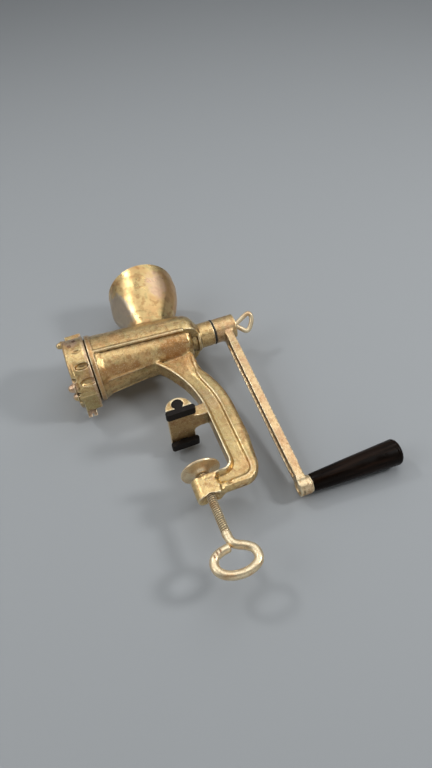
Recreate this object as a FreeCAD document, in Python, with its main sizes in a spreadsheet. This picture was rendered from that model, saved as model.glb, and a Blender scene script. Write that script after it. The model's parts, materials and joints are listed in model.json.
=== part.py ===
import FreeCAD, Part
import Sketcher
import math
import os

os.makedirs("parts", exist_ok=True)
doc = FreeCAD.newDocument("meat_grinder")
sizes = doc.addObject("Spreadsheet::Sheet", "sizes")

# Row frame, in millimetres: the table's top face is z = 0, under the jaw's pads. The clamp screw is the
# Z axis. X runs along the barrel, from the ring nut to the crank. Each free size has one cell.
SIZES = {
    # Barrel, along X at this height over the table
    "axis_height": 102,
    "joint_face": -57.5,
    "flange_radius": 32,
    "flange_width": 4.5,
    "spigot_radius": 28.5,
    "spigot_length": 12,
    "barrel_front_radius": 29.5,
    "barrel_rear_radius": 20,
    "barrel_length": 97.5,
    "barrel_rounding": 6,
    "casing_front_radius": 31,
    "casing_rear_radius": 24.8,
    "casing_ledge_drop": 8,
    "casing_rounding": 13,
    "casing_overhang": 8,
    "shoulder_bead_radius": 14.2,
    "shoulder_bead_width": 3,
    "shoulder_bead_offset": 6,
    "bore_front_radius": 25,
    "bore_rear_radius": 16.5,
    "bore_end_wall": 6,
    "boss_radius": 12.2,
    "boss_length": 23.8,
    "boss_root": 4,
    # Hopper
    "hopper_setback": 24.9,
    "rim_height": 88,
    "rim_radius": 34.8,
    "rim_bead": 0.8,
    "waist_height": 52,
    "waist_shift": -4,
    "waist_long": 33.5,
    "waist_wide": 28.5,
    "throat_height": 17,
    "throat_shift": -8.5,
    "throat_long": 26,
    "throat_wide": 19,
    "hopper_wall": 3.2,
    "mouth_over": 2,
    "throat_inset_long": 7,
    "throat_inset_wide": 5,
    "throat_rise": 6,
    # Clamp frame
    "frame_thick": 16,
    "plate_part_thick": 10,
    "leg_inner": 24.5,
    "leg_wide": 22.6,
    "leg_bend": 107,
    "leg_bend_base": 8,
    "leg_root": 4,
    "leg_knee": 57,
    "inner_corner": 8,
    "outer_corner": 16.5,
    "rim_wide": 4.3,
    "web_margin": 3.6,
    "web_step": 1,
    "web_depth": 2,
    "web_boss_gap": 3,
    "web_overrun": 6,
    "screw_boss_radius": 11.5,
    "screw_boss_thick": 14,
    "screw_boss_top": 51.5,
    "screw_boss_height": 19,
    # Jaw and pads
    "jaw_radius": 11.5,
    "jaw_half_length": 27,
    "jaw_flare_radius": 11,
    "jaw_flare_start": 8,
    "jaw_flare_high": 8,
    "pad_thick": 5,
    "pad_long": 8,
    "pad_front_reach": 12.5,
    "pad_rear_reach": 13.5,
    "pad_end_radius": 2.8,
    "pad_bulb_radius": 4.8,
    "pad_bulb_rise": 4.6,
    "pad_neck_wide": 5,
    "pad_play": 0.1,
    # Plate, knife and ring nut
    "plate_radius": 27,
    "plate_thick": 5,
    "plate_proud": 1.2,
    "plate_play": 0.3,
    "plate_hole_radius": 2.25,
    "plate_hole_phase": 9,
    "plate_hub_radius": 4.1,
    "key_radius": 1.5,
    "key_length": 7,
    "key_recess": 1,
    "key_play": 0.35,
    "knife_radius": 24,
    "knife_thick": 5.6,
    "knife_blade_wide": 9,
    "knife_blades": 4,
    "knife_tip_drop": 2,
    "knife_hub_radius": 10,
    "knife_gap": 0.15,
    "stud_side": 8,
    "stud_pin_radius": 4,
    "stud_rear": 14,
    "stud_nose_short": 1,
    "stud_play": 0.1,
    "nut_radius": 33,
    "nut_length": 20,
    "nut_gap": 1.1,
    "nut_thread_play": 0.35,
    "nut_mouth_radius": 23.5,
    "nut_mouth_bevel": 1.5,
    "nut_lip_gap": 0.15,
    "nut_front_round": 2.2,
    "nut_turn": 40,
    "grip_recess_radius": 3.2,
    "grip_recess_deep": 1.7,
    "grip_recess_long": 12,
    "grip_recess_count": 12,
    "grip_recess_phase": 8,
    "horn_radius": 3,
    "horn_length": 5.5,
    "horn_inset": 0.7,
    "horn_root": 4,
    "lug_radius": 4,
    "lug_height": 10.5,
    "lug_root": 2,
    "lug_shift": 2,
    # Feed screw
    "journal_radius": 8,
    "journal_play": 0.06,
    "core_front_radius": 14,
    "core_rear_radius": 8.5,
    "flight_thick": 4,
    "flight_pitch": 25,
    "flight_play": 1.2,
    "flight_root": 3,
    "core_gap": 1,
    "drive_side": 10.5,
    "drive_play": 0.15,
    "drive_stop": 2,
    # Crank
    "washer_thick": 1.2,
    "washer_radius": 12.4,
    "washer_play": 0.05,
    "hub_radius": 12,
    "hub_length": 22,
    "arm_inset": 8.7,
    "arm_thick": 7.8,
    "arm_hub_wide": 16.5,
    "arm_end_wide": 13.5,
    "arm_rim": 2.8,
    "arm_channel": 2.4,
    "channel_hub_gap": 5,
    "channel_boss_gap": 3,
    "crank_length": 180,
    "crank_rest_angle": 7,
    "end_boss_radius": 8,
    "end_boss_length": 11,
    "end_boss_inset": 7.8,
    "rivet_recess_radius": 5.6,
    "rivet_recess_deep": 1.6,
    # Grip and spindle
    "spindle_radius": 4,
    "spindle_play": 0.08,
    "spindle_head_radius": 6.4,
    "spindle_head_thick": 2.4,
    "rivet_thick": 1,
    "rivet_spread": 1,
    "rivet_bevel": 0.6,
    "grip_washer_thick": 1,
    "grip_washer_radius": 7.4,
    "grip_end_play": 0.2,
    "grip_length": 83,
    "grip_near_radius": 7.8,
    "grip_far_radius": 11.8,
    "grip_round": 4,
    "grip_bevel": 0.8,
    "grip_bevel_long": 1.2,
    "grip_recess_wide": 7.4,
    "grip_recess_depth": 4,
    # Thumbscrew
    "thumb_shank_radius": 3,
    "thumb_shank_length": 15,
    "thumb_play": 0.1,
    "thumb_root": 1,
    "thumb_collar_radius": 6,
    "thumb_collar_thick": 2.4,
    "thumb_collar_gap": 0.1,
    "thumb_loop_radius": 7.4,
    "thumb_wire_radius": 1.8,
    "thumb_turn": 46,
    # Clamp screw and pressure plate
    "screw_radius": 3.75,
    "screw_play": 0.1,
    "screw_top": 43.8,
    "screw_length": 68.5,
    "eye_half_width": 15.6,
    "eye_half_height": 11.6,
    "eye_wire_radius": 3.6,
    "disc_radius": 17,
    "disc_thick": 3,
    "disc_top": 42,
    "disc_collar_radius": 7,
    "disc_collar_height": 3.2,
    "disc_web": 1.6,
}
for row, (alias, value) in enumerate(SIZES.items(), start=1):
    sizes.set("A%d" % row, alias)
    sizes.set("B%d" % row, str(value))
    sizes.setAlias("B%d" % row, alias)
doc.recompute()

# Expressions that several pieces share
AXIS = "sizes.axis_height"
BARREL_END = "sizes.joint_face + sizes.barrel_length"
BOSS_END = "%s + sizes.boss_length" % BARREL_END
HOPPER_MIDDLE = "%s - sizes.hopper_setback" % BARREL_END
SPIGOT_END = "sizes.joint_face - sizes.spigot_length"
PLATE_FRONT = "%s - sizes.plate_proud" % SPIGOT_END
PLATE_REAR = "%s + sizes.plate_thick" % PLATE_FRONT
KNIFE_REAR = "%s + sizes.knife_gap + sizes.knife_thick" % PLATE_REAR
CORE_FRONT = "%s + sizes.core_gap" % KNIFE_REAR
CORE_REAR = "%s - sizes.bore_end_wall - sizes.core_gap" % BARREL_END
HUB_START = "%s + sizes.washer_thick + 2 * sizes.washer_play" % BOSS_END
HUB_END = "%s + sizes.hub_length" % HUB_START
ARM_START = "%s + sizes.arm_inset" % HUB_START
BOSS_START = "%s + sizes.end_boss_inset" % HUB_START
BOSS_FACE = "%s + sizes.end_boss_length" % BOSS_START
GRIP_START = "%s + sizes.grip_washer_thick + 2 * sizes.grip_end_play" % BOSS_FACE
GRIP_END = "%s + sizes.grip_length" % GRIP_START
LEG_OUTER = "(sizes.leg_inner + sizes.leg_wide)"
BOSS_TOP = "-sizes.screw_boss_top"
BOSS_LOW = "(-sizes.screw_boss_top - sizes.screw_boss_height)"
CRANK_TURN = "sizes.crank_rest_angle * 1 deg"
AXES = {"X": FreeCAD.Vector(1, 0, 0), "Y": FreeCAD.Vector(0, 1, 0), "Z": FreeCAD.Vector(0, 0, 1)}
LYING = {"X": FreeCAD.Rotation(AXES["Y"], 90), "Y": FreeCAD.Rotation(AXES["X"], -90), "Z": FreeCAD.Rotation()}


def number(expression):
    return float(sizes.evalExpression(expression))


def bind(item, **expressions):
    for name, expression in expressions.items():
        item.setExpression(name, expression)
    return item


def place(item, x="0", y="0", z="0"):
    item.setExpression("Placement.Base.x", x)
    item.setExpression("Placement.Base.y", y)
    item.setExpression("Placement.Base.z", z)
    return item


def turn_about_x(item, angle):
    item.Placement = FreeCAD.Placement(FreeCAD.Vector(), FreeCAD.Rotation(AXES["X"], 1))
    item.setExpression("Placement.Rotation.Angle", angle)
    return item


def round_bar(name, axis, radius, length, x="0", y="0", z="0"):
    bar = doc.addObject("Part::Cylinder", name)
    bar.Placement.Rotation = LYING[axis]
    return place(bind(bar, Radius=radius, Height=length), x, y, z)


def taper(name, first_radius, last_radius, length, x):
    cone = doc.addObject("Part::Cone", name)
    cone.Placement.Rotation = LYING["X"]
    return place(bind(cone, Radius1=first_radius, Radius2=last_radius, Height=length), x, "0", AXIS)


def block(name, long, wide, high, x, y, z):
    box = doc.addObject("Part::Box", name)
    return place(bind(box, Length=long, Width=wide, Height=high), x, y, z)


def fuse(name, shapes):
    joined = doc.addObject("Part::MultiFuse", name)
    joined.Shapes = shapes
    return joined


def cut(name, base, tool):
    result = doc.addObject("Part::Cut", name)
    result.Base = base
    result.Tool = tool
    return result


def common(name, base, tool):
    result = doc.addObject("Part::Common", name)
    result.Base = base
    result.Tool = tool
    return result


def new_body(name):
    return doc.addObject("PartDesign::Body", name)


def new_sketch(body, name, plane, offset="0"):
    sketch = body.newObject("Sketcher::SketchObject", name)
    support = [feature for feature in body.Origin.OriginFeatures if feature.Role == plane][0]
    sketch.AttachmentSupport = [(support, "")]
    sketch.MapMode = "FlatFace"
    sketch.setExpression("AttachmentOffset.Base.z", offset)
    return sketch


def arc_between(start, end, radius):
    # A positive radius bulges to the right of the way from start to end. The arc itself runs anticlockwise.
    along = end - start
    left = FreeCAD.Vector(-along.y, along.x, 0).normalize()
    rise = math.sqrt(max(radius * radius - along.Length * along.Length / 4, 0))
    centre = (start + end) * 0.5 + left * math.copysign(rise, radius)
    first, last = (start, end) if radius > 0 else (end, start)
    begin = math.atan2(first.y - centre.y, first.x - centre.x)
    finish = math.atan2(last.y - centre.y, last.x - centre.x)
    if finish < begin:
        finish += 2 * math.pi
    return Part.ArcOfCircle(Part.Circle(centre, AXES["Z"], abs(radius)), begin, finish)


def bind_place(sketch, shape, end, x, y):
    for kind, expression in (("DistanceX", x), ("DistanceY", y)):
        index = sketch.addConstraint(Sketcher.Constraint(kind, -1, 1, shape, end, number(expression)))
        sketch.setExpression("Constraints[%d]" % index, expression)


def outline(sketch, corners):
    # Each corner is (x, y), with a radius third where an arc leads on to the next corner.
    points = [FreeCAD.Vector(number(corner[0]), number(corner[1]), 0) for corner in corners]
    for index, corner in enumerate(corners):
        start = points[index]
        end = points[(index + 1) % len(points)]
        if len(corner) == 3:
            sketch.addGeometry(arc_between(start, end, number(corner[2])), False)
        else:
            sketch.addGeometry(Part.LineSegment(start, end), False)
    backwards = [len(corner) == 3 and number(corner[2]) < 0 for corner in corners]
    tails = [(2, 1) if reverse else (1, 2) for reverse in backwards]
    for index, corner in enumerate(corners):
        following = (index + 1) % len(corners)
        joint = Sketcher.Constraint("Coincident", index, tails[index][1], following, tails[following][0])
        sketch.addConstraint(joint)
        bind_place(sketch, index, tails[index][0], corner[0], corner[1])
        if len(corner) == 3:
            size = abs(number(corner[2]))
            added = sketch.addConstraint(Sketcher.Constraint("Radius", index, size))
            sketch.setExpression("Constraints[%d]" % added, "abs(%s)" % corner[2])
    return sketch


def ring(sketch, radius, x="0", y="0"):
    centre = FreeCAD.Vector(number(x), number(y), 0)
    shape = sketch.addGeometry(Part.Circle(centre, AXES["Z"], number(radius)), False)
    bind_place(sketch, shape, 3, x, y)
    added = sketch.addConstraint(Sketcher.Constraint("Radius", shape, number(radius)))
    sketch.setExpression("Constraints[%d]" % added, radius)
    return sketch


def pad(body, name, sketch, length, reverse=False):
    feature = body.newObject("PartDesign::Pad", name)
    feature.Profile = sketch
    feature.Reversed = reverse
    return bind(feature, Length=length)


def pocket(body, name, sketch, length, reverse=False):
    feature = body.newObject("PartDesign::Pocket", name)
    feature.Profile = sketch
    feature.Reversed = reverse
    return bind(feature, Length=length)


def spin(body, name, sketch):
    feature = body.newObject("PartDesign::Revolution", name)
    feature.Profile = sketch
    feature.ReferenceAxis = (sketch, ["H_Axis"])
    feature.Angle = 360
    return feature


def polar(body, name, features, count):
    pattern = body.newObject("PartDesign::PolarPattern", name)
    pattern.Originals = features
    axis = [feature for feature in body.Origin.OriginFeatures if feature.Role == "X_Axis"][0]
    pattern.Axis = (axis, [""])
    pattern.Angle = 360
    bind(pattern, Occurrences=count)
    body.Tip = pattern
    return pattern


def turned(name, corners):
    # A piece turned about the X axis of its own body
    body = new_body(name)
    spin(body, name + "_turning", outline(new_sketch(body, name + "_profile", "XZ_Plane"), corners))
    return body


def oval(name, long, wide, x, z):
    section = doc.addObject("Part::Ellipse", name)
    return place(bind(section, MajorRadius=long, MinorRadius=wide), x, "0", z)


def funnel(name, wall, above="0"):
    levels = (
        ("throat", "sizes.throat_long", "sizes.throat_wide", "sizes.throat_shift", "sizes.throat_height"),
        ("waist", "sizes.waist_long", "sizes.waist_wide", "sizes.waist_shift", "sizes.waist_height"),
        ("rim", "sizes.rim_radius", "sizes.rim_radius", "0", "sizes.rim_height + %s" % above),
    )
    loft = doc.addObject("Part::Loft", name)
    sections = []
    for level, long, wide, shift, height in levels:
        sections.append(oval(
            "%s_%s" % (name, level), "%s - %s" % (long, wall), "%s - %s" % (wide, wall),
            "%s + %s" % (HOPPER_MIDDLE, shift), "%s + %s" % (AXIS, height)))
    loft.Sections = sections
    loft.Solid = True
    return loft


def make_shell():
    # Barrel, raised upper casing, rear boss and hopper, all solid
    barrel = turned("barrel", [
        ("sizes.joint_face", "0"),
        (BARREL_END, "0"),
        (BARREL_END, "sizes.barrel_rear_radius - sizes.barrel_rounding", "sizes.barrel_rounding"),
        (BARREL_END + " - sizes.barrel_rounding", "sizes.barrel_rear_radius"),
        ("sizes.joint_face", "sizes.barrel_front_radius"),
    ])
    place(barrel, z=AXIS)
    casing_round = "sizes.casing_rounding"
    casing_end = BARREL_END + " + sizes.casing_overhang"
    casing = turned("casing", [
        ("sizes.joint_face", "0"),
        (casing_end, "0"),
        (casing_end, "sizes.casing_rear_radius - " + casing_round, casing_round),
        (casing_end + " - " + casing_round, "sizes.casing_rear_radius"),
        ("sizes.joint_face", "sizes.casing_front_radius"),
    ])
    place(casing, z=AXIS)
    around = "2 * sizes.flange_radius"
    upper = block("upper_half", "2 * sizes.barrel_length", "2 * " + around, around,
                  "sizes.joint_face", "-" + around, AXIS + " - sizes.casing_ledge_drop")
    raised = common("raised_casing", casing, upper)
    flange = round_bar("flange", "X", "sizes.flange_radius", "sizes.flange_width",
                       "sizes.joint_face", "0", AXIS)
    spigot = round_bar("spigot", "X", "sizes.spigot_radius", "sizes.spigot_length", SPIGOT_END, "0", AXIS)
    boss = round_bar("rear_boss", "X", "sizes.boss_radius", "sizes.boss_length + sizes.boss_root",
                     BARREL_END + " - sizes.boss_root", "0", AXIS)
    bead = round_bar("shoulder_bead", "X", "sizes.shoulder_bead_radius", "sizes.shoulder_bead_width",
                     BARREL_END + " + sizes.shoulder_bead_offset", "0", AXIS)
    rim = round_bar("hopper_rim", "Z", "sizes.rim_radius + sizes.rim_bead", "2 * sizes.rim_bead",
                    HOPPER_MIDDLE, "0", "%s + sizes.rim_height - 2 * sizes.rim_bead" % AXIS)
    return [barrel, raised, flange, spigot, boss, bead, rim, funnel("hopper_outside", "0")]


def leg_outline(body, name, inner_inset, outer_inset, low_start, offset):
    # The C-frame's side view, drawn in from its inner and its outer edge
    top = "(%s - sizes.bore_front_radius + sizes.leg_root)" % AXIS
    knee = "sizes.leg_knee"
    base = "sizes.leg_bend_base"
    inner = "(sizes.leg_inner + %s)" % inner_inset
    outer = "(%s - %s)" % (LEG_OUTER, outer_inset)
    bend_in = "(sizes.leg_bend + %s)" % inner_inset
    bend_out = "(sizes.leg_bend + sizes.inner_corner - %s)" % outer_inset

    def on_bend(edge, bend, height):
        return "%s - %s + sqrt(%s ^ 2 - (%s - %s) ^ 2)" % (edge, bend, bend, height, base)

    corner_in = "(sizes.inner_corner + %s)" % inner_inset
    corner_out = "(sizes.outer_corner - %s)" % outer_inset
    floor = "(%s + %s)" % (BOSS_LOW, outer_inset)
    ceiling = "(%s - %s)" % (BOSS_TOP, inner_inset)
    corners = [
        (on_bend(inner, bend_in, top), top, "-" + bend_in),
        (inner, base),
        (inner, "%s + %s" % (ceiling, corner_in), "-" + corner_in),
        ("%s - %s" % (inner, corner_in), ceiling),
        (low_start, ceiling),
        (low_start, floor),
        ("%s - %s" % (outer, corner_out), floor, corner_out),
        (outer, "%s + %s" % (floor, corner_out)),
        (outer, base, bend_out),
        (on_bend(outer, bend_out, knee), knee),
        (on_bend(outer, bend_out, knee), top),
    ]
    return outline(new_sketch(body, name, "XZ_Plane", offset), corners)


def make_leg():
    # A deep inner rim, a thinner plate part and a web in two steps between the rims, alike on both faces
    leg = new_body("leg")
    half = "sizes.frame_thick / 2"
    slim = "((sizes.frame_thick - sizes.plate_part_thick) / 2)"
    rim = "sizes.rim_wide"
    past = "(-sizes.web_overrun)"
    margin = "(sizes.rim_wide + sizes.web_margin)"
    web_low = "(sizes.screw_boss_radius + sizes.web_boss_gap)"
    pad(leg, "leg_plate", leg_outline(leg, "leg_edge", "0", "0", "0", "-" + half), "sizes.frame_thick")
    cuts = (
        ("thin_part", rim, past, past, slim),
        ("web", rim, rim, web_low, slim + " + sizes.web_step"),
        ("deep_web", rim, margin, web_low, slim + " + sizes.web_depth"),
    )
    for name, inner_inset, outer_inset, low_start, depth in cuts:
        near = leg_outline(leg, "near_%s_edge" % name, inner_inset, outer_inset, low_start, half)
        pocket(leg, "near_" + name, near, depth)
        far = leg_outline(leg, "far_%s_edge" % name, inner_inset, outer_inset, low_start, "-" + half)
        pocket(leg, "far_" + name, far, depth, reverse=True)
    return leg


def make_jaw():
    half = "sizes.frame_thick / 2"
    bar = round_bar("jaw_round", "Y", "sizes.jaw_radius", "2 * sizes.jaw_half_length",
                    "0", "-sizes.jaw_half_length", "sizes.pad_thick")
    above = block("jaw_space", "2 * sizes.jaw_radius", "2 * sizes.jaw_half_length", "sizes.jaw_radius",
                  "-sizes.jaw_radius", "-sizes.jaw_half_length", "sizes.pad_thick")
    neck_end = "sizes.leg_inner + sizes.rim_wide / 2"
    neck = block("jaw_neck", neck_end, "sizes.frame_thick", "sizes.jaw_radius",
                 "0", "-" + half, "sizes.pad_thick")
    flare = new_body("jaw_flare")
    side = "(%s + sizes.jaw_flare_radius)" % half
    start = "sizes.jaw_flare_start"
    end = "(sizes.jaw_flare_start + sizes.jaw_flare_radius)"
    plan = outline(new_sketch(flare, "flare_edge", "XY_Plane", "sizes.pad_thick"), [
        ("0", "-" + side),
        (start, "-" + side, "-sizes.jaw_flare_radius"),
        (end, "-" + half),
        (neck_end, "-" + half),
        (neck_end, half),
        (end, half, "-sizes.jaw_flare_radius"),
        (start, side),
        ("0", side),
    ])
    pad(flare, "flare", plan, "sizes.jaw_flare_high")
    return [common("jaw_bar", bar, above), neck, flare]


def make_screw_boss():
    thick = "sizes.screw_boss_thick"
    boss = round_bar("boss_round", "Z", "sizes.screw_boss_radius", "sizes.screw_boss_height",
                     "0", "0", BOSS_LOW)
    slab = block("boss_slab", "2 * sizes.screw_boss_radius", thick, "sizes.screw_boss_height",
                 "-sizes.screw_boss_radius", "-%s / 2" % thick, BOSS_LOW)
    return common("screw_boss", boss, slab)


def keyhole(name, start, play):
    # The pad's root: a bulb and a neck that go up into the jaw
    long = "sizes.pad_long + %s" % play
    bulb = round_bar(name + "_bulb", "Y", "sizes.pad_bulb_radius + %s" % play, long,
                     "0", start, "sizes.pad_thick + sizes.pad_bulb_rise")
    neck = block(name + "_neck", "sizes.pad_neck_wide + 2 * %s" % play, long, "sizes.pad_bulb_rise",
                 "-sizes.pad_neck_wide / 2 - %s" % play, start, "sizes.pad_thick")
    return [bulb, neck]


PAD_STARTS = {
    "pad_front": ("-sizes.jaw_half_length", "-sizes.jaw_half_length"),
    "pad_rear": ("sizes.jaw_half_length - sizes.pad_long",
                 "sizes.jaw_half_length - sizes.pad_long - sizes.pad_play"),
}


def make_body():
    solid = fuse("body_solid", make_shell() + [make_leg(), make_screw_boss()] + make_jaw())
    bore_start = PLATE_REAR
    hollows = [
        taper("barrel_bore", "sizes.bore_front_radius", "sizes.bore_rear_radius",
              "%s - sizes.bore_end_wall - (%s)" % (BARREL_END, bore_start), bore_start),
        round_bar("plate_seat", "X", "sizes.plate_radius + sizes.plate_play",
                  "sizes.plate_thick - sizes.plate_proud", SPIGOT_END, "0", AXIS),
        round_bar("journal_bore", "X", "sizes.journal_radius + sizes.journal_play",
                  "sizes.boss_length + 3 * sizes.bore_end_wall",
                  BARREL_END + " - 2 * sizes.bore_end_wall", "0", AXIS),
        round_bar("key_hole", "X", "sizes.key_radius", "sizes.key_length + sizes.key_recess",
                  PLATE_FRONT, "0", "%s + sizes.plate_radius - sizes.key_radius" % AXIS),
        round_bar("screw_hole", "Z", "sizes.screw_radius + sizes.screw_play", "2 * sizes.screw_boss_height",
                  "0", "0", BOSS_LOW + " - sizes.screw_boss_height / 2"),
    ]
    for name, (_, start) in PAD_STARTS.items():
        hollows.extend(keyhole(name + "_slot", start, "sizes.pad_play"))
    bored = cut("bored_body", solid, fuse("body_hollows", hollows))
    throat_half = "(sizes.throat_long - sizes.hopper_wall - sizes.throat_inset_long)"
    throat_side = "(sizes.throat_wide - sizes.hopper_wall - sizes.throat_inset_wide)"
    throat = block("throat", "2 * " + throat_half, "2 * " + throat_side, "sizes.throat_height",
                   HOPPER_MIDDLE + " + sizes.throat_shift - " + throat_half, "-" + throat_side,
                   AXIS + " + sizes.throat_rise")
    hopper = funnel("hopper_inside", "sizes.hopper_wall", "sizes.mouth_over")
    return cut("grinder_body", cut("open_throat", bored, throat), hopper)


def make_pad(name, start):
    # A strip with round ends under the jaw, with its root up in the slot
    strip = new_body(name + "_strip")
    soft = "sizes.pad_end_radius"
    bulge = "(%s - sqrt(%s ^ 2 - (sizes.pad_thick / 2) ^ 2))" % (soft, soft)
    front = "-sizes.pad_front_reach + " + bulge
    rear = "sizes.pad_rear_reach - " + bulge
    edge = outline(new_sketch(strip, name + "_edge", "XZ_Plane", "-(%s)" % start), [
        (front, "0"),
        (rear, "0", soft),
        (rear, "sizes.pad_thick"),
        (front, "sizes.pad_thick", soft),
    ])
    pad(strip, name + "_foot", edge, "sizes.pad_long", reverse=True)
    return fuse(name, [strip] + keyhole(name + "_root", start, "0"))


def make_plate_key():
    return round_bar("plate_key", "X", "sizes.key_radius", "sizes.key_length",
                     PLATE_FRONT + " + sizes.key_recess", "0",
                     "%s + sizes.plate_radius - sizes.key_radius" % AXIS)


# Drilled holes on each circle of the grinding plate, from the middle out
PLATE_HOLES = (8, 14, 20)
# Where the ring nut's horns stand, in degrees from its top
HORN_ANGLES = (0, 225, 252)


def make_plate():
    body = new_body("grinding_plate")
    disc = ring(new_sketch(body, "plate_edge", "YZ_Plane", PLATE_FRONT), "sizes.plate_radius")
    pad(body, "plate_disc", disc, "sizes.plate_thick")
    holes = new_sketch(body, "plate_holes", "YZ_Plane", PLATE_FRONT)
    ring(holes, "sizes.plate_hub_radius + sizes.stud_play")
    for circle, count in enumerate(PLATE_HOLES, start=1):
        reach = "(sizes.plate_hub_radius + %d * (sizes.plate_radius - sizes.plate_hub_radius) / %d)" % (
            circle, len(PLATE_HOLES) + 1)
        for step in range(count):
            angle = "(%g + sizes.plate_hole_phase) * 1 deg" % (360.0 * step / count)
            ring(holes, "sizes.plate_hole_radius",
                 "%s * cos(%s)" % (reach, angle), "%s * sin(%s)" % (reach, angle))
    pocket(body, "plate_drilling", holes, "sizes.plate_thick", reverse=True)
    notch = new_sketch(body, "key_notch", "YZ_Plane", PLATE_FRONT)
    ring(notch, "sizes.key_radius + sizes.key_play", "0", "sizes.plate_radius - sizes.key_radius")
    pocket(body, "key_notch_cut", notch, "sizes.plate_thick", reverse=True)
    return place(body, z=AXIS)


def make_knife():
    body = new_body("knife")
    start = "%s + sizes.knife_gap" % PLATE_REAR
    hub = ring(new_sketch(body, "knife_hub", "YZ_Plane", start), "sizes.knife_hub_radius")
    pad(body, "knife_centre", hub, "sizes.knife_thick")
    half = "sizes.knife_blade_wide / 2"
    blade = outline(new_sketch(body, "blade_edge", "YZ_Plane", start), [
        ("-" + half, "0"),
        (half, "0"),
        ("0", "sizes.knife_radius"),
        ("-" + half, "sizes.knife_radius - sizes.knife_tip_drop"),
    ])
    first = pad(body, "blade", blade, "sizes.knife_thick")
    polar(body, "blades", [first], "sizes.knife_blades")
    side = "(sizes.stud_side / 2 + sizes.stud_play)"
    square = outline(new_sketch(body, "stud_square", "YZ_Plane", start), [
        ("-" + side, "-" + side), (side, "-" + side), (side, side), ("-" + side, side)])
    pocket(body, "stud_hole", square, "sizes.knife_thick", reverse=True)
    return place(body, z=AXIS)


def make_knife_stud():
    body = new_body("knife_stud")
    front = "%s - sizes.knife_thick - sizes.knife_gap" % KNIFE_REAR
    side = "(sizes.stud_side / 2)"
    square = outline(new_sketch(body, "stud_section", "YZ_Plane", front), [
        ("-" + side, "-" + side), (side, "-" + side), (side, side), ("-" + side, side)])
    pad(body, "stud_shank", square, "sizes.stud_rear")
    pin = ring(new_sketch(body, "stud_pin", "YZ_Plane", front), "sizes.stud_pin_radius")
    pad(body, "stud_nose", pin, "sizes.plate_thick - sizes.stud_nose_short", reverse=True)
    return place(body, z=AXIS)


def make_ring_nut():
    rear = "sizes.joint_face - sizes.nut_gap"
    front = "%s - sizes.nut_length" % rear
    lip = "%s - sizes.nut_lip_gap" % PLATE_FRONT
    thread = "sizes.spigot_radius + sizes.nut_thread_play"
    soft = "sizes.nut_front_round"
    body = turned("nut_ring", [
        (rear, thread),
        (rear, "sizes.nut_radius"),
        ("%s + %s" % (front, soft), "sizes.nut_radius", soft),
        (front, "sizes.nut_radius - " + soft),
        (front, "sizes.nut_mouth_radius + sizes.nut_mouth_bevel"),
        (front + " + sizes.nut_mouth_bevel", "sizes.nut_mouth_radius"),
        (lip, "sizes.nut_mouth_radius"),
        (lip, thread),
    ])
    middle = "(%s + %s) / 2 + sizes.grip_recess_long / 2" % (rear, front)
    recess_at = "(sizes.nut_radius + sizes.grip_recess_radius - sizes.grip_recess_deep)"
    phase = "(sizes.grip_recess_phase * 1 deg)"
    recess = ring(new_sketch(body, "recess_edge", "YZ_Plane", middle), "sizes.grip_recess_radius",
                  "%s * sin(%s)" % (recess_at, phase), "%s * cos(%s)" % (recess_at, phase))
    first = pocket(body, "grip_recess", recess, "sizes.grip_recess_long")
    polar(body, "grip_recesses", [first], "sizes.grip_recess_count")
    horns = new_sketch(body, "horn_edges", "YZ_Plane", front + " + sizes.horn_root")
    reach = "(sizes.nut_radius - sizes.horn_radius - sizes.horn_inset)"
    for angle in HORN_ANGLES:
        turn = "%g * 1 deg" % angle
        ring(horns, "sizes.horn_radius", "%s * sin(%s)" % (reach, turn), "%s * cos(%s)" % (reach, turn))
    pad(body, "horns", horns, "sizes.horn_length + sizes.horn_root", reverse=True)
    turn_about_x(body, "sizes.nut_turn * 1 deg")
    place(body, z=AXIS)
    return fuse("ring_nut", [body, make_lug("side_lug", rear, front)])


def make_lug(name, rear, front):
    # A short bar that stands out of the ring nut's side
    angle = "(sizes.nut_turn + 180) * 1 deg"
    root = "(sizes.nut_radius - sizes.lug_root)"
    lug = doc.addObject("Part::Cylinder", name)
    bind(lug, Radius="sizes.lug_radius", Height="sizes.lug_height + sizes.lug_root")
    turn_about_x(lug, angle)
    return place(lug, "(%s + %s) / 2 - sizes.lug_shift" % (rear, front), "-%s * sin(%s)" % (root, angle),
                 "%s + %s * cos(%s)" % (AXIS, root, angle))


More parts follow.
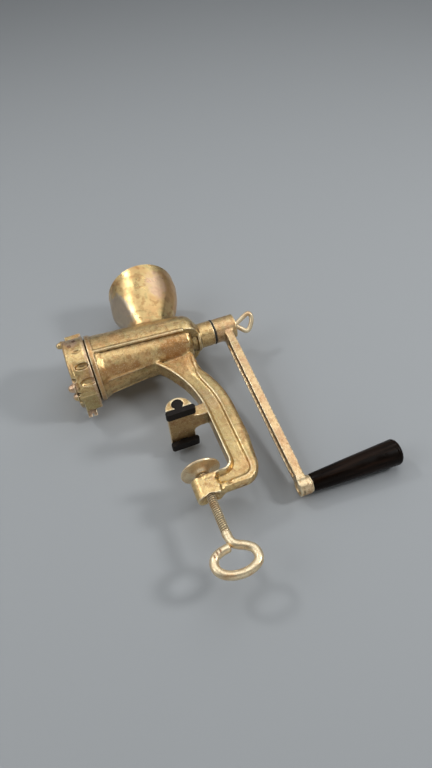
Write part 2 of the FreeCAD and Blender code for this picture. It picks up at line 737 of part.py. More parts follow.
def make_feed_screw():
    core = turned("feed_core", [
        (CORE_FRONT, "0"),
        (HUB_END + " - sizes.drive_stop", "0"),
        (HUB_END + " - sizes.drive_stop", "sizes.drive_side / sqrt(2)"),
        (BOSS_END, "sizes.journal_radius"),
        (CORE_REAR, "sizes.journal_radius"),
        (CORE_REAR, "sizes.core_rear_radius"),
        (CORE_FRONT, "sizes.core_front_radius"),
    ])
    place(core, z=AXIS)
    length = "(%s - (%s))" % (CORE_REAR, CORE_FRONT)
    flight = new_body("flight")
    start = CORE_REAR + " - sizes.flight_thick"
    reach = "sizes.bore_rear_radius - sizes.flight_play"
    edge = outline(new_sketch(flight, "flight_section", "XZ_Plane"), [
        (start, "sizes.core_rear_radius - sizes.flight_root"),
        (start + " + sizes.flight_thick", "sizes.core_rear_radius - sizes.flight_root"),
        (start + " + sizes.flight_thick", reach),
        (start, reach),
    ])
    helix = flight.newObject("PartDesign::AdditiveHelix", "flight_helix")
    helix.Profile = edge
    helix.ReferenceAxis = (edge, ["H_Axis"])
    helix.Mode = "pitch-height-angle"
    helix.Reversed = True
    bind(helix, Pitch="sizes.flight_pitch", Height="%s - sizes.flight_thick - sizes.flight_root" % length,
         Angle="atan((sizes.bore_front_radius - sizes.bore_rear_radius) / sizes.barrel_length)")
    place(flight, z=AXIS)
    screw = fuse("feed_solid", [core, flight])
    side = "sizes.drive_side"
    square = block("drive_square", "2 * sizes.hub_length", side, side, BOSS_END, "0", AXIS)
    turn_about_axis_height(square, CRANK_TURN)
    turned_end = round_bar("drive_end", "X", "2 * sizes.journal_radius", "2 * sizes.hub_length",
                           BOSS_END, "0", AXIS)
    waste = cut("drive_waste", turned_end, square)
    socket = round_bar("thumb_hole", "X", "sizes.thumb_shank_radius + sizes.thumb_play",
                       "sizes.thumb_shank_length", "%s - sizes.thumb_shank_length" % HUB_END, "0", AXIS)
    stud = "sizes.stud_side"
    stud_room = block("stud_room", "sizes.stud_rear", stud, stud,
                      KNIFE_REAR + " - sizes.knife_thick - sizes.knife_gap", "-%s / 2" % stud,
                      "%s - %s / 2" % (AXIS, stud))
    return cut("feed_screw", screw, fuse("feed_waste", [waste, socket, stud_room]))


def turn_about_axis_height(box, angle):
    # A Part::Box turns about its own corner, so its corner is swung about the barrel's axis too.
    half = "sizes.drive_side / 2"
    turn_about_x(box, angle)
    return place(box, BOSS_END, "-%s * cos(%s) + %s * sin(%s)" % (half, angle, half, angle),
                 "%s - %s * sin(%s) - %s * cos(%s)" % (AXIS, half, angle, half, angle))


def make_thrust_washer():
    inner = "sizes.journal_radius + 2 * sizes.washer_play"
    outer = "sizes.washer_radius"
    start = "%s + sizes.washer_play" % BOSS_END
    end = "%s + sizes.washer_thick" % start
    section = [(start, inner), (end, inner), (end, outer), (start, outer)]
    return place(turned("thrust_washer", section), z=AXIS)


def make_crank_arm():
    body = new_body("crank_arm")
    hub = ring(new_sketch(body, "hub_edge", "YZ_Plane", HUB_START), "sizes.hub_radius")
    pad(body, "hub", hub, "sizes.hub_length")
    low = "-sizes.crank_length"
    wide = "sizes.arm_hub_wide / 2"
    slim = "sizes.arm_end_wide / 2"
    arm = outline(new_sketch(body, "arm_edge", "YZ_Plane", ARM_START), [
        ("-" + wide, "0"), (wide, "0"), (slim, low), ("-" + slim, low)])
    pad(body, "arm", arm, "sizes.arm_thick")
    boss = ring(new_sketch(body, "end_boss_edge", "YZ_Plane", BOSS_START), "sizes.end_boss_radius", "0", low)
    pad(body, "end_boss", boss, "sizes.end_boss_length")
    top = "(-sizes.hub_radius - sizes.channel_hub_gap)"
    foot = "(-sizes.crank_length + sizes.end_boss_radius + sizes.channel_boss_gap)"
    rim = "sizes.arm_rim"
    channel = [("-%s + %s" % (wide, rim), top), ("%s - %s" % (wide, rim), top),
               ("%s - %s" % (slim, rim), foot), ("-%s + %s" % (slim, rim), foot)]
    inner = outline(new_sketch(body, "inner_channel_edge", "YZ_Plane", ARM_START), channel)
    pocket(body, "inner_channel", inner, "sizes.arm_channel", reverse=True)
    outer_face = ARM_START + " + sizes.arm_thick"
    outer = outline(new_sketch(body, "outer_channel_edge", "YZ_Plane", outer_face), channel)
    pocket(body, "outer_channel", outer, "sizes.arm_channel")
    side = "(sizes.drive_side / 2 + sizes.drive_play)"
    square = outline(new_sketch(body, "drive_hole_edge", "YZ_Plane", HUB_START), [
        ("-" + side, "-" + side), (side, "-" + side), (side, side), ("-" + side, side)])
    pocket(body, "drive_hole", square, "sizes.hub_length", reverse=True)
    pin = ring(new_sketch(body, "pin_hole_edge", "YZ_Plane", BOSS_START), "sizes.spindle_radius", "0", low)
    pocket(body, "pin_hole", pin, "sizes.end_boss_length", reverse=True)
    rivet = new_sketch(body, "rivet_recess_edge", "YZ_Plane", BOSS_START)
    ring(rivet, "sizes.rivet_recess_radius", "0", low)
    pocket(body, "rivet_recess", rivet, "sizes.rivet_recess_deep", reverse=True)
    turn_about_x(body, CRANK_TURN)
    return place(body, z=AXIS)


def at_crank_end(body):
    return place(body, "0", "sizes.crank_length * sin(%s)" % CRANK_TURN,
                 "%s - sizes.crank_length * cos(%s)" % (AXIS, CRANK_TURN))


def make_spindle():
    rivet = BOSS_START + " + sizes.rivet_recess_deep"
    head = GRIP_END + " - sizes.grip_recess_depth + sizes.grip_end_play"
    return at_crank_end(turned("handle_spindle", [
        (rivet + " - sizes.rivet_thick", "0"),
        (head + " + sizes.spindle_head_thick", "0"),
        (head + " + sizes.spindle_head_thick", "sizes.spindle_head_radius"),
        (head, "sizes.spindle_head_radius"),
        (head, "sizes.spindle_radius"),
        (rivet, "sizes.spindle_radius"),
        (rivet, "sizes.spindle_radius + sizes.rivet_spread"),
        (rivet + " - sizes.rivet_thick", "sizes.spindle_radius + sizes.rivet_spread - sizes.rivet_bevel"),
    ]))


def make_grip_washer():
    inner = "sizes.spindle_radius"
    outer = "sizes.grip_washer_radius"
    end = BOSS_FACE + " + sizes.grip_washer_thick"
    section = [(BOSS_FACE, inner), (end, inner), (end, outer), (BOSS_FACE, outer)]
    return at_crank_end(turned("grip_washer", section))


def make_grip():
    bore = "sizes.spindle_radius + sizes.spindle_play"
    soft = "sizes.grip_round"
    return at_crank_end(turned("handle_grip", [
        (GRIP_START, bore),
        (GRIP_END + " - sizes.grip_recess_depth", bore),
        (GRIP_END + " - sizes.grip_recess_depth", "sizes.grip_recess_wide"),
        (GRIP_END, "sizes.grip_recess_wide"),
        (GRIP_END, "sizes.grip_far_radius - " + soft, soft),
        ("%s - %s" % (GRIP_END, soft), "sizes.grip_far_radius"),
        (GRIP_START + " + sizes.grip_bevel_long", "sizes.grip_near_radius"),
        (GRIP_START, "sizes.grip_near_radius - sizes.grip_bevel"),
    ]))


def make_thumbscrew():
    collar = HUB_END + " + sizes.thumb_collar_gap"
    shank = round_bar("thumb_shank", "X", "sizes.thumb_shank_radius", "sizes.thumb_shank_length",
                      HUB_END + " - sizes.thumb_shank_length + sizes.thumb_root", "0", AXIS)
    disc = round_bar("thumb_collar", "X", "sizes.thumb_collar_radius", "sizes.thumb_collar_thick",
                     collar, "0", AXIS)
    loop = doc.addObject("Part::Torus", "thumb_loop")
    loop.Placement.Rotation = FreeCAD.Rotation(AXES["X"], 90 + number("sizes.thumb_turn"))
    bind(loop, Radius1="sizes.thumb_loop_radius", Radius2="sizes.thumb_wire_radius")
    loop_rise = " + sizes.thumb_collar_thick + sizes.thumb_loop_radius + sizes.thumb_wire_radius / 2"
    place(loop, collar + loop_rise, "0", AXIS)
    return fuse("thumbscrew", [shank, disc, loop])


def make_clamp_screw():
    low = "-sizes.screw_top - sizes.screw_length"
    rod = round_bar("screw_rod", "Z", "sizes.screw_radius", "sizes.screw_length", "0", "0", low)
    loop = doc.addObject("Part::Ellipse", "eye_line")
    loop.Placement.Rotation = FreeCAD.Rotation(AXES["X"], 90)
    bind(loop, MajorRadius="sizes.eye_half_width", MinorRadius="sizes.eye_half_height")
    place(loop, "0", "0", low + " - sizes.eye_half_height")
    wire = doc.addObject("Part::Circle", "eye_wire")
    bind(wire, Radius="sizes.eye_wire_radius")
    place(wire, "sizes.eye_half_width", "0", low + " - sizes.eye_half_height")
    eye = doc.addObject("Part::Sweep", "screw_eye")
    eye.Sections = [wire]
    eye.Spine = (loop, ["Edge1"])
    eye.Solid = True
    eye.Frenet = True
    return fuse("clamp_screw", [rod, eye])


def make_pressure_plate():
    disc_low = "-sizes.disc_top - sizes.disc_thick"
    disc = round_bar("disc", "Z", "sizes.disc_radius", "sizes.disc_thick", "0", "0", disc_low)
    collar_low = disc_low + " - sizes.disc_collar_height"
    collar = round_bar("disc_collar", "Z", "sizes.disc_collar_radius", "sizes.disc_collar_height",
                       "0", "0", collar_low)
    socket = round_bar("disc_socket", "Z", "sizes.screw_radius + sizes.screw_play",
                       "sizes.disc_thick + sizes.disc_collar_height - sizes.disc_web", "0", "0", collar_low)
    return cut("pressure_plate", fuse("disc_solid", [disc, collar]), socket)


nodes = [
    make_body(),
    make_plate_key(),
    make_plate(),
    make_knife(),
    make_knife_stud(),
    make_ring_nut(),
    make_feed_screw(),
    make_thrust_washer(),
    make_crank_arm(),
    make_spindle(),
    make_grip_washer(),
    make_grip(),
    make_thumbscrew(),
    make_clamp_screw(),
    make_pressure_plate(),
]
for pad_name, (pad_start, _) in PAD_STARTS.items():
    nodes.append(make_pad(pad_name, pad_start))

doc.recompute()
for item in doc.Objects:
    if "Invalid" in item.State or "Error" in item.State:
        raise RuntimeError("%s did not build" % item.Label)
for node in nodes:
    if node.Shape.isNull() or not node.Shape.isValid():
        raise RuntimeError("%s has no valid shape" % node.Label)
    print("%-16s solids %d volume %.0f" % (node.Label, len(node.Shape.Solids), node.Shape.Volume))
    node.Shape.exportStep("parts/%s.step" % node.Label)
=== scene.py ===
import json
import math

import bpy
from bpy.props import FloatProperty, FloatVectorProperty, IntProperty, PointerProperty
from bpy.types import Operator, Panel, PropertyGroup
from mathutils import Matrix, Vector


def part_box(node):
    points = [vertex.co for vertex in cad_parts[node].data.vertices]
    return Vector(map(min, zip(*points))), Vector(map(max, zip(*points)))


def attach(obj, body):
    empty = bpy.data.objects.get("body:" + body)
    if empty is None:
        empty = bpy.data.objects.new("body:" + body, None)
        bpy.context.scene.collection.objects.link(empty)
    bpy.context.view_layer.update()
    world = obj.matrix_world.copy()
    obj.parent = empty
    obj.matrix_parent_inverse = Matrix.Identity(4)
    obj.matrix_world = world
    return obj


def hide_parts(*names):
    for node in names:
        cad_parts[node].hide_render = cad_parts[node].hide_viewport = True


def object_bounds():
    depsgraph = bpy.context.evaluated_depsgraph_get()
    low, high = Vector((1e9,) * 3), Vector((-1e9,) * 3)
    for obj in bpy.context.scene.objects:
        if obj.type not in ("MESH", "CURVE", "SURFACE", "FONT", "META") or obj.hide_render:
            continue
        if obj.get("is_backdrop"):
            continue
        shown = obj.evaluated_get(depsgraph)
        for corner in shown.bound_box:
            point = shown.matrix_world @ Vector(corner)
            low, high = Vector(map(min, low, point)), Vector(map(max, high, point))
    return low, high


bl_info = {
    "name": "Hand crank meat grinder",
    "version": (1, 0, 0),
    "blender": (4, 5, 0),
    "location": "3D View > Sidebar > Grinder",
    "description": "Casts, threads and finishes the pieces of a table-clamp meat grinder laid on its side",
    "category": "Object",
}

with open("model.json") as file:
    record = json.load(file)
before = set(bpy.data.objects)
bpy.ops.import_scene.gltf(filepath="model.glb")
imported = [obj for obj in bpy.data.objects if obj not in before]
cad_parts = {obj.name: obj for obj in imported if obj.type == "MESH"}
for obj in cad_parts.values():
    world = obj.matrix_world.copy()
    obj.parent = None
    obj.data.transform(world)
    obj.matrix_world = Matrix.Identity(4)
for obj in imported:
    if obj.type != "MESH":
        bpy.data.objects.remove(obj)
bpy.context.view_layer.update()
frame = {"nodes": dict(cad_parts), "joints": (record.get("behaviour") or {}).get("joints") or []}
NODES = frame["nodes"]
JOINTS = {joint["name"]: joint for joint in frame["joints"]}
MM = 0.001
AXIS_HEIGHT = JOINTS["crank_spin"]["pos_m"][2] / MM
BARREL_CENTRE = Vector((0, 0, AXIS_HEIGHT))
GRIP_CENTRE = Vector((0, *JOINTS["grip_spin"]["pos_m"][1:])) / MM
MERGE_GAP = 1e-6
SMOOTH_ANGLE = math.radians(40)
SAND_SCALE = 0.0045
ROD_SIDES = 32
CAST_STEPS = 96
NUT_STEPS = 128
COLLAR_STEPS = 48
BODY_TRIANGLES = 190000
FLOOR_SIZE, FLOOR_GAP = 8, 0.2
MIX_FIRST, MIX_SECOND, MIX_RESULT = 6, 7, 2
LEG_EDGE, LEG_BEND, LEG_BEND_BASE = 47.1, 115, 8
LEG_CORNER, LEG_CORNER_HEIGHT = 16.5, -54
LAMPS = (
    ("over", (0.22, -1.06, 0.06), 1.0),
    ("right", (1.0, -0.87, -0.38), 0.25),
    ("left", (-0.95, -0.85, 0), 0.7),
    ("streak", (-0.52, -1.0, 0.64), 0.18),
    ("far", (0.75, -0.95, 0.62), 0.5),
    ("back", (0.3, 1.1, 0.8), 0.9),
)


def length(name, description, default):
    return FloatProperty(name=name, description=description, default=default * MM, unit="LENGTH", precision=5)


def colour(name, description, default):
    return FloatVectorProperty(name=name, description=description, default=default, size=3, min=0, max=1,
                               subtype="COLOR")


def power(name, description, default):
    return FloatProperty(name=name, description=description, default=default, unit="POWER")


def glow(name, description, default):
    return FloatProperty(name=name, description=description, default=default)


class GrinderSizes(PropertyGroup):
    body_voxel: length("Body voxel", "Grid that the body casting is melted on", 0.7)
    nut_voxel: length("Ring nut voxel", "Grid that the ring nut is melted on", 0.5)
    arm_voxel: length("Crank voxel", "Grid that the crank arm is melted on", 0.6)
    small_voxel: length("Small voxel", "Grid that small pieces are melted on", 0.35)
    cast_grain: length("Cast grain", "Depth of the sand-cast unevenness", 0.22)
    thread_pitch: length("Thread pitch", "Lead of the clamp screw's thread", 1.8)
    thread_depth: length("Thread depth", "Height of the clamp screw's thread", 0.8)
    hopper_wall: length("Hopper wall", "Thickness of the hopper's wall", 3.2)
    eye_wire: length("Eye wire", "Radius of the clamp screw's bent eye", 3.6)
    thumb_wire: length("Thumbscrew wire", "Radius of the thumbscrew's bent loop", 2.3)
    turning_steps: IntProperty(
        name="Turning steps", description="Steps round a turned piece", default=72, min=12)


class GrinderFinish(PropertyGroup):
    tin: colour("Tinned iron", "Bare tinned casting", (0.77, 0.56, 0.25))
    copper: colour("Copper bloom", "Pinkish clouds on the casting", (0.70, 0.39, 0.165))
    # Olive clouds, also laid as painted shade on the ring nut's lower ear
    olive: colour("Olive bloom", "Dull greenish clouds on the casting", (0.46, 0.37, 0.16))
    # Worn tin, also laid as painted highlight on edges and on the crank's end boss
    bright: colour("Bright edges", "Tin rubbed bright on edges", (0.98, 0.87, 0.60))
    # Brown tarnish, also laid as painted shade under the jaw
    tarnish: colour("Tarnish", "Brown tarnish on the casting", (0.46, 0.23, 0.08))
    # Laid as painted shade on the hopper's flat flank
    grey: colour("Grey tin", "Tin that has stayed grey", (0.50, 0.43, 0.35))
    rose: colour("Rose tin", "Tin with a pink cast", (0.78, 0.53, 0.39))
    # Dark dirt, also laid as painted shade in creases, corners, gaps, thread roots and the crank's channel
    grime_and_shade: colour("Grime", "Dark dirt in corners", (0.08, 0.05, 0.025))
    steel: colour("Plated steel", "Worn plating of screws and washers", (0.90, 0.75, 0.50))
    rust: colour("Rust", "Rust specks on steel", (0.20, 0.07, 0.03))
    rubber: colour("Rubber", "Black rubber pads", (0.010, 0.007, 0.005))
    lacquer: colour("Lacquered wood", "Dark lacquer of the grip", (0.004, 0.002, 0.001))
    fibre: colour("Fibre", "Pressed fibre washer", (0.02, 0.018, 0.016))
    floor: colour("Floor", "Plain pale floor", (0.37, 0.39, 0.405))


class GrinderStage(PropertyGroup):
    camera_place: FloatVectorProperty(
        name="Camera place", description="Where the camera stands", subtype="TRANSLATION", unit="LENGTH",
        default=(-0.05174, -0.40547, -0.28083))
    camera_turn: FloatVectorProperty(
        name="Camera turn", description="How the camera is turned", subtype="EULER",
        default=(math.radians(130.467), math.radians(20.498), math.radians(3.330)))
    camera_lens: FloatProperty(
        name="Camera lens", description="Focal length on a sensor 36 mm high", default=26.72, unit="CAMERA")
    over_power: power("Overhead power", "Broad lamp overhead", 3.4)
    right_power: power("Right power", "Lamp over the crank", 6.2)
    left_power: power("Left power", "Lamp over the ring nut", 3)
    streak_power: power("Streak power", "Small lamp beyond the hopper", 2.4)
    far_power: power("Far power", "Lamp beyond the crank", 0.8)
    back_power: power("Back power", "Lamp for the side that lies down", 1.5)
    ceiling: glow("Ceiling", "Even light from overhead", 0.04)
    front: glow("Front", "Low light from the camera's side", 0.75)
    left: glow("Left", "Low light from the left", 0.45)
    beyond: glow("Beyond", "Raised light beyond the hopper", 0.5)
    horizon: glow("Horizon", "Even light from everywhere", 0.012)


def spot(x, y, z):
    """A place in the row frame, given in millimetres."""
    return Vector((x, y, z)) * MM


def round_spot(along, angle, radius):
    """A place about the barrel's axis, its angle in degrees from the top towards the near side."""
    turn = math.radians(angle)
    return spot(along, -radius * math.sin(turn), AXIS_HEIGHT + radius * math.cos(turn))


def deselect():
    bpy.ops.object.select_all(action="DESELECT")


def pick(*pieces):
    """Select these pieces alone, with the first one active."""
    deselect()
    for piece in pieces:
        piece.select_set(True)
    bpy.context.view_layer.objects.active = pieces[0]


def settled(name):
    """Name the piece just added, and put its place and turn into its mesh."""
    piece = bpy.context.active_object
    piece.name = piece.data.name = name
    pick(piece)
    bpy.ops.object.transform_apply(location=True, rotation=True, scale=True)
    return piece


def rod(name, start, end, radius, end_radius=None):
    """A round rod between two places, which may taper."""
    along = end - start
    deselect()
    bpy.ops.mesh.primitive_cone_add(
        vertices=ROD_SIDES, radius1=radius, radius2=radius if end_radius is None else end_radius,
        depth=along.length, location=(start + end) / 2, rotation=along.to_track_quat("Z", "Y").to_euler())
    return settled(name)


def egg(name, place, radii, turn=0.0):
    """An ellipsoid with its radii along X and, turned about X, along the other two ways."""
    deselect()
    bpy.ops.mesh.primitive_uv_sphere_add(segments=48, ring_count=24, radius=1, location=place,
                                         rotation=(turn, 0, 0))
    bpy.context.active_object.scale = radii
    return settled(name)


def slab(name, place, size, turn=(0, 0, 0)):
    """A block about its middle."""
    deselect()
    bpy.ops.mesh.primitive_cube_add(size=1, location=place, rotation=turn)
    bpy.context.active_object.scale = size
    return settled(name)


def mode(kind):
    bpy.ops.object.mode_set(mode=kind)


def whole(step, **settings):
    """Run a step on the whole of the mesh being edited."""
    bpy.ops.mesh.select_all(action="SELECT")
    step(**settings)


def mended(piece, outward=True):
    """Merge a piece's doubled points and, unless its faces are right already, turn them outwards."""
    pick(piece)
    mode("EDIT")
    whole(bpy.ops.mesh.remove_doubles, threshold=MERGE_GAP)
    if outward:
        whole(bpy.ops.mesh.normals_make_consistent, inside=False)
    mode("OBJECT")
    return piece


def placed(name, data):
    """Add an object to the scene."""
    item = bpy.data.objects.new(name, data)
    bpy.context.scene.collection.objects.link(item)
    return item


def copied(node, name):
    """A free copy of a solid, with its loose triangles merged."""
    piece = placed(name, NODES[node].data.copy())
    piece.data.materials.clear()
    return mended(piece, outward=False)


def changed(piece, kind, **settings):
    """Apply one modifier to a piece."""
    pick(piece)
    modifier = piece.modifiers.new(kind.title(), kind)
    for key, value in settings.items():
        setattr(modifier, key, value)
    bpy.ops.object.modifier_apply(modifier=modifier.name)
    return piece


def carved(piece, tool):
    """Cut a tool's shape out of a piece."""
    changed(piece, "BOOLEAN", operation="DIFFERENCE", object=tool, solver="EXACT")
    bpy.data.objects.remove(tool)
    return piece


def joined(pieces, name):
    """Join pieces into one object."""
    pick(*pieces)
    bpy.ops.object.join()
    piece = bpy.context.active_object
    piece.name = piece.data.name = name
    return piece


def cast(pieces, name, voxel, rounds, grain=0.0):
    """Melt pieces into one skin with soft edges and the unevenness of a sand casting."""
    piece = joined(pieces, name)
    changed(piece, "REMESH", mode="VOXEL", voxel_size=voxel)
    changed(piece, "SMOOTH", factor=0.5, iterations=rounds)
    if grain:
        texture = bpy.data.textures.new(name + "_sand", "CLOUDS")
        texture.noise_scale = SAND_SCALE
        texture.noise_depth = 2
        changed(piece, "DISPLACE", texture=texture, texture_coords="LOCAL", strength=grain, mid_level=0.5)
    return piece


def thinned(piece, triangles):
    """Collapse a skin's flat parts until it holds no more than a number of triangles."""
    count = sum(len(face.vertices) - 2 for face in piece.data.polygons)
    if count > triangles:
        changed(piece, "DECIMATE", ratio=triangles / count)


def softened(piece, inside, rounds):
    """Smooth the part of a skin whose points, in millimetres, pass a test."""
    pick(piece)
    mode("EDIT")
    bpy.ops.mesh.select_mode(type="VERT")
    bpy.ops.mesh.select_all(action="DESELECT")
    mode("OBJECT")
    for vertex in piece.data.vertices:
        vertex.select = inside(*(vertex.co / MM))
    mode("EDIT")
    bpy.ops.mesh.vertices_smooth(factor=0.5, repeat=rounds)
    mode("OBJECT")


def turned(name, centre, corners, steps, axis=Vector((1, 0, 0)), outward=Vector((0, 0, 1)), edge=0.0):
    """Spin a profile of (along, radius) corners, in millimetres, about an axis through centre."""
    places = [centre * MM + (axis * along + outward * radius) * MM for along, radius in corners]
    deselect()
    bpy.ops.mesh.primitive_plane_add(size=MM, location=(0, 0, 0))
    mode("EDIT")
    bpy.ops.mesh.merge(type="CENTER")
    bpy.ops.transform.translate(value=places[0])
    for before, after in zip(places, places[1:] + places[:1]):
        bpy.ops.mesh.extrude_region_move(TRANSFORM_OT_translate={"value": after - before})
    whole(bpy.ops.mesh.remove_doubles, threshold=MERGE_GAP)
    whole(bpy.ops.mesh.spin, steps=steps, angle=2 * math.pi, center=centre * MM, axis=axis)
    whole(bpy.ops.mesh.remove_doubles, threshold=MERGE_GAP * 10)
    bpy.ops.mesh.dissolve_degenerate(threshold=MERGE_GAP)
    whole(bpy.ops.mesh.normals_make_consistent, inside=False)
    mode("OBJECT")
    piece = settled(name)
    if edge:
        changed(piece, "BEVEL", width=edge * MM, segments=3, limit_method="ANGLE",
                angle_limit=math.radians(28))
    return piece


def lofted(name, sections):
    """Bridge level sections of (height, middle, half length, half width, squareness), in millimetres."""
    rings = []
    for height, middle, half_long, half_wide, squareness in sections:
        deselect()
        bpy.ops.mesh.primitive_circle_add(vertices=CAST_STEPS, radius=1)
        ring = settled("section")
        for point in ring.data.vertices:
            x, y = point.co.x, point.co.y
            swell = (abs(x) ** squareness + abs(y) ** squareness) ** (-1 / squareness)
            point.co = spot(middle + half_long * x * swell, half_wide * y * swell, height)
        rings.append(ring)
    piece = joined(rings, name)
    mode("EDIT")
    whole(bpy.ops.mesh.bridge_edge_loops)
    whole(bpy.ops.mesh.fill_holes, sides=0)
    whole(bpy.ops.mesh.normals_make_consistent, inside=False)
    mode("OBJECT")
    return piece


def bent_wire(name, places, radius):
    """Round wire along a smooth line through the control places."""
    curve = bpy.data.curves.new(name, "CURVE")
    curve.dimensions = "3D"
    curve.bevel_depth = radius
    curve.bevel_resolution = 8
    curve.resolution_u = 10
    curve.use_fill_caps = True
    line = curve.splines.new("NURBS")
    line.points.add(len(places) - 1)
    for point, place in zip(line.points, places):
        point.co = (*place, 1)
    line.order_u = 3
    line.use_endpoint_u = True
    wire = placed(name, curve)
    pick(wire)
    bpy.ops.object.convert(target="MESH")
    return mended(wire)


def dressed(piece, material, body, slot, *nodes):
    """Give a piece its finish, set it on its body and let it stand for the plain solids."""
    piece.data.materials.clear()
    piece.data.materials.append(material)
    pick(piece)
    bpy.ops.object.shade_smooth_by_angle(angle=SMOOTH_ANGLE)
    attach(piece, body)
    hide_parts(*nodes)


class Nodes:
    """Short ways to add, feed and link the nodes of one tree."""

    def __init__(self, tree):
        self.tree = tree

    def feed(self, socket, value):
        """Link an output to a socket, or set a plain value on it."""
        if hasattr(value, "is_linked"):
            self.tree.links.new(value, socket)
        else:
            socket.default_value = value

    def node(self, kind, sockets=None, **settings):
        """Add a node with its settings, and feed its sockets."""
        made = self.tree.nodes.new("ShaderNode" + kind)
        for key, value in settings.items():
            setattr(made, key, value)
        for key, value in (sockets or {}).items():
            self.feed(made.inputs[key], value)
        return made

    def span(self, value, low, high, out_low=0.0, out_high=1.0, kind="SMOOTHSTEP"):
        """Stretch a value so that low to high becomes out_low to out_high."""
        sockets = {"Value": value, "From Min": low, "From Max": high, "To Min": out_low, "To Max": out_high}
        return self.node("MapRange", sockets, interpolation_type=kind).outputs["Result"]

    def reckon(self, operation, first, second):
        return self.node("Math", {0: first, 1: second}, operation=operation).outputs["Value"]


class Finish(Nodes):
    """A material whose patterns are read from the piece's own coordinates, in metres."""

    def __init__(self, name):
        self.material = bpy.data.materials.new(name)
        self.material.use_nodes = True
        super().__init__(self.material.node_tree)
        self.shader = self.tree.nodes["Principled BSDF"]
        self.places = self.node("TexCoord").outputs["Object"]

    def noise(self, scale, detail, roughness, distortion=0.0, stretch=None):
        places = self.places
        if stretch:
            places = self.node("Mapping", {"Vector": places, "Scale": stretch}).outputs["Vector"]
        sockets = {"Vector": places, "Scale": scale, "Detail": detail, "Roughness": roughness,
                   "Distortion": distortion}
        return self.node("TexNoise", sockets).outputs["Fac"]

    def mix(self, amount, first, second):
        made = self.node("Mix", {"Factor": amount}, data_type="RGBA")
        for socket, value in ((MIX_FIRST, first), (MIX_SECOND, second)):
            self.feed(made.inputs[socket], value if hasattr(value, "is_linked") else (*value, 1))
        return made.outputs[MIX_RESULT]

    def laid(self, base, shade, value, low, high, most=1.0):
        """Lay a shade over a base, more of it as a value goes from low to high."""
        return self.mix(self.span(value, low, high, 0, most), base, shade)

    def patch(self, centre, reach):
        """1 at a place in millimetres, falling to 0 at its reach each way."""
        sockets = {"Vector": self.places, "Location": Vector(centre) * MM, "Scale": Vector(reach) * MM}
        mapping = self.node("Mapping", sockets, vector_type="TEXTURE")
        places = {"Vector": mapping.outputs["Vector"]}
        return self.node("TexGradient", places, gradient_type="SPHERICAL").outputs["Fac"]

    def along(self, way):
        """How far a place lies along a direction, in metres."""
        sockets = {0: self.places, 1: way}
        return self.node("VectorMath", sockets, operation="DOT_PRODUCT").outputs["Value"]

    def away(self, ways):
        """How far a place lies from the origin, each way counted by its share."""
        sockets = {0: self.places, 1: ways}
        flat = self.node("VectorMath", sockets, operation="MULTIPLY").outputs["Vector"]
        return self.node("VectorMath", {0: flat}, operation="LENGTH").outputs["Value"]

    def edges(self):
        return self.node("NewGeometry").outputs["Pointiness"]

    def openness(self, reach):
        """1 on open faces, falling to 0 in corners and gaps narrower than a reach in millimetres."""
        shade = self.node("AmbientOcclusion", {"Distance": reach * MM}, samples=6, only_local=True)
        return shade.outputs["AO"]

    def bumps(self, *layers):
        """Stack bumps of (height, strength, distance in millimetres)."""
        last = None
        for height, strength, distance in layers:
            sockets = {"Height": height, "Strength": strength, "Distance": distance * MM}
            if last:
                sockets["Normal"] = last
            last = self.node("Bump", sockets).outputs["Normal"]
        self.feed(self.shader.inputs["Normal"], last)

    def done(self, base, roughness, metallic=0.0):
        for key, value in (("Base Color", base), ("Roughness", roughness), ("Metallic", metallic)):
            self.feed(self.shader.inputs[key], value)
        return self.material


def tinned_iron(name, colours, stains=(), calm=((0, 0, 0), (1, 1, 1))):
    """Worn tinned casting: sandy grain, coppery and olive clouds, edges painted bright as worn tin and
    painted highlight, and creases, corners and gaps painted dark as dirt and painted shade.
    Each stain is (centre, reach, colour, amount), and may end with a cut of (way, from, to).
    The surface is smoother about calm, a centre and its reach."""
    finish = Finish(name)
    lumps = finish.noise(170, 3, 0.5)
    cloud = finish.noise(38, 4, 0.6, distortion=0.6)
    drift = finish.noise(76, 4, 0.65, distortion=0.4)
    sandy = finish.span(finish.patch(*calm), 0, 0.35, 1, 0.6)
    grain = finish.reckon("MULTIPLY", finish.noise(330, 5, 0.75), sandy)
    glints = finish.reckon("MULTIPLY", finish.noise(900, 3, 0.65), sandy)
    base = finish.laid(colours.tin, colours.copper, cloud, 0.46, 0.66, 0.7)
    base = finish.laid(base, colours.olive, drift, 0.50, 0.70, 0.7)
    base = finish.laid(base, colours.tarnish, lumps, 0.50, 0.64, 0.6)
    for centre, reach, shade, amount, *cut in stains:
        torn = finish.span(lumps, 0.3, 0.6, 0.6, 1.3)
        ragged = finish.reckon("MULTIPLY", finish.patch(centre, reach), torn)
        cover = finish.span(ragged, 0.05, 0.5, 0, amount)
        for way, low, high in cut:
            side = finish.span(finish.along(way), low * MM, high * MM)
            cover = finish.reckon("MULTIPLY", cover, side)
        base = finish.mix(cover, base, shade)
    base = finish.laid(base, colours.tarnish, grain, 0.49, 0.63, 0.65)
    base = finish.laid(base, colours.bright, glints, 0.54, 0.66, 0.4)
    edges = finish.edges()
    # Convex edges painted bright: worn tin and painted highlight
    base = finish.laid(base, colours.bright, edges, 0.508, 0.55, 0.8)
    # Creases painted dark: dirt and painted shade
    base = finish.laid(base, colours.grime_and_shade, edges, 0.492, 0.45, 0.85)
    # Corners and gaps that ambient occlusion finds are painted dark: dirt and painted shade
    base = finish.laid(base, colours.grime_and_shade, finish.openness(9), 0.86, 0.36, 0.92)
    finish.bumps((lumps, 0.3, 0.5), (grain, 0.6, 0.5), (glints, 0.35, 0.2))
    worn = finish.span(cloud, 0.35, 0.65, 0.28, 0.45)
    rough = finish.reckon("MULTIPLY", worn, finish.span(sandy, 0.6, 1, 0.9, 1))
    finish.shader.inputs["Coat Weight"].default_value = 0.25
    finish.shader.inputs["Coat Roughness"].default_value = 0.25
    return finish.done(base, rough, 0.96)


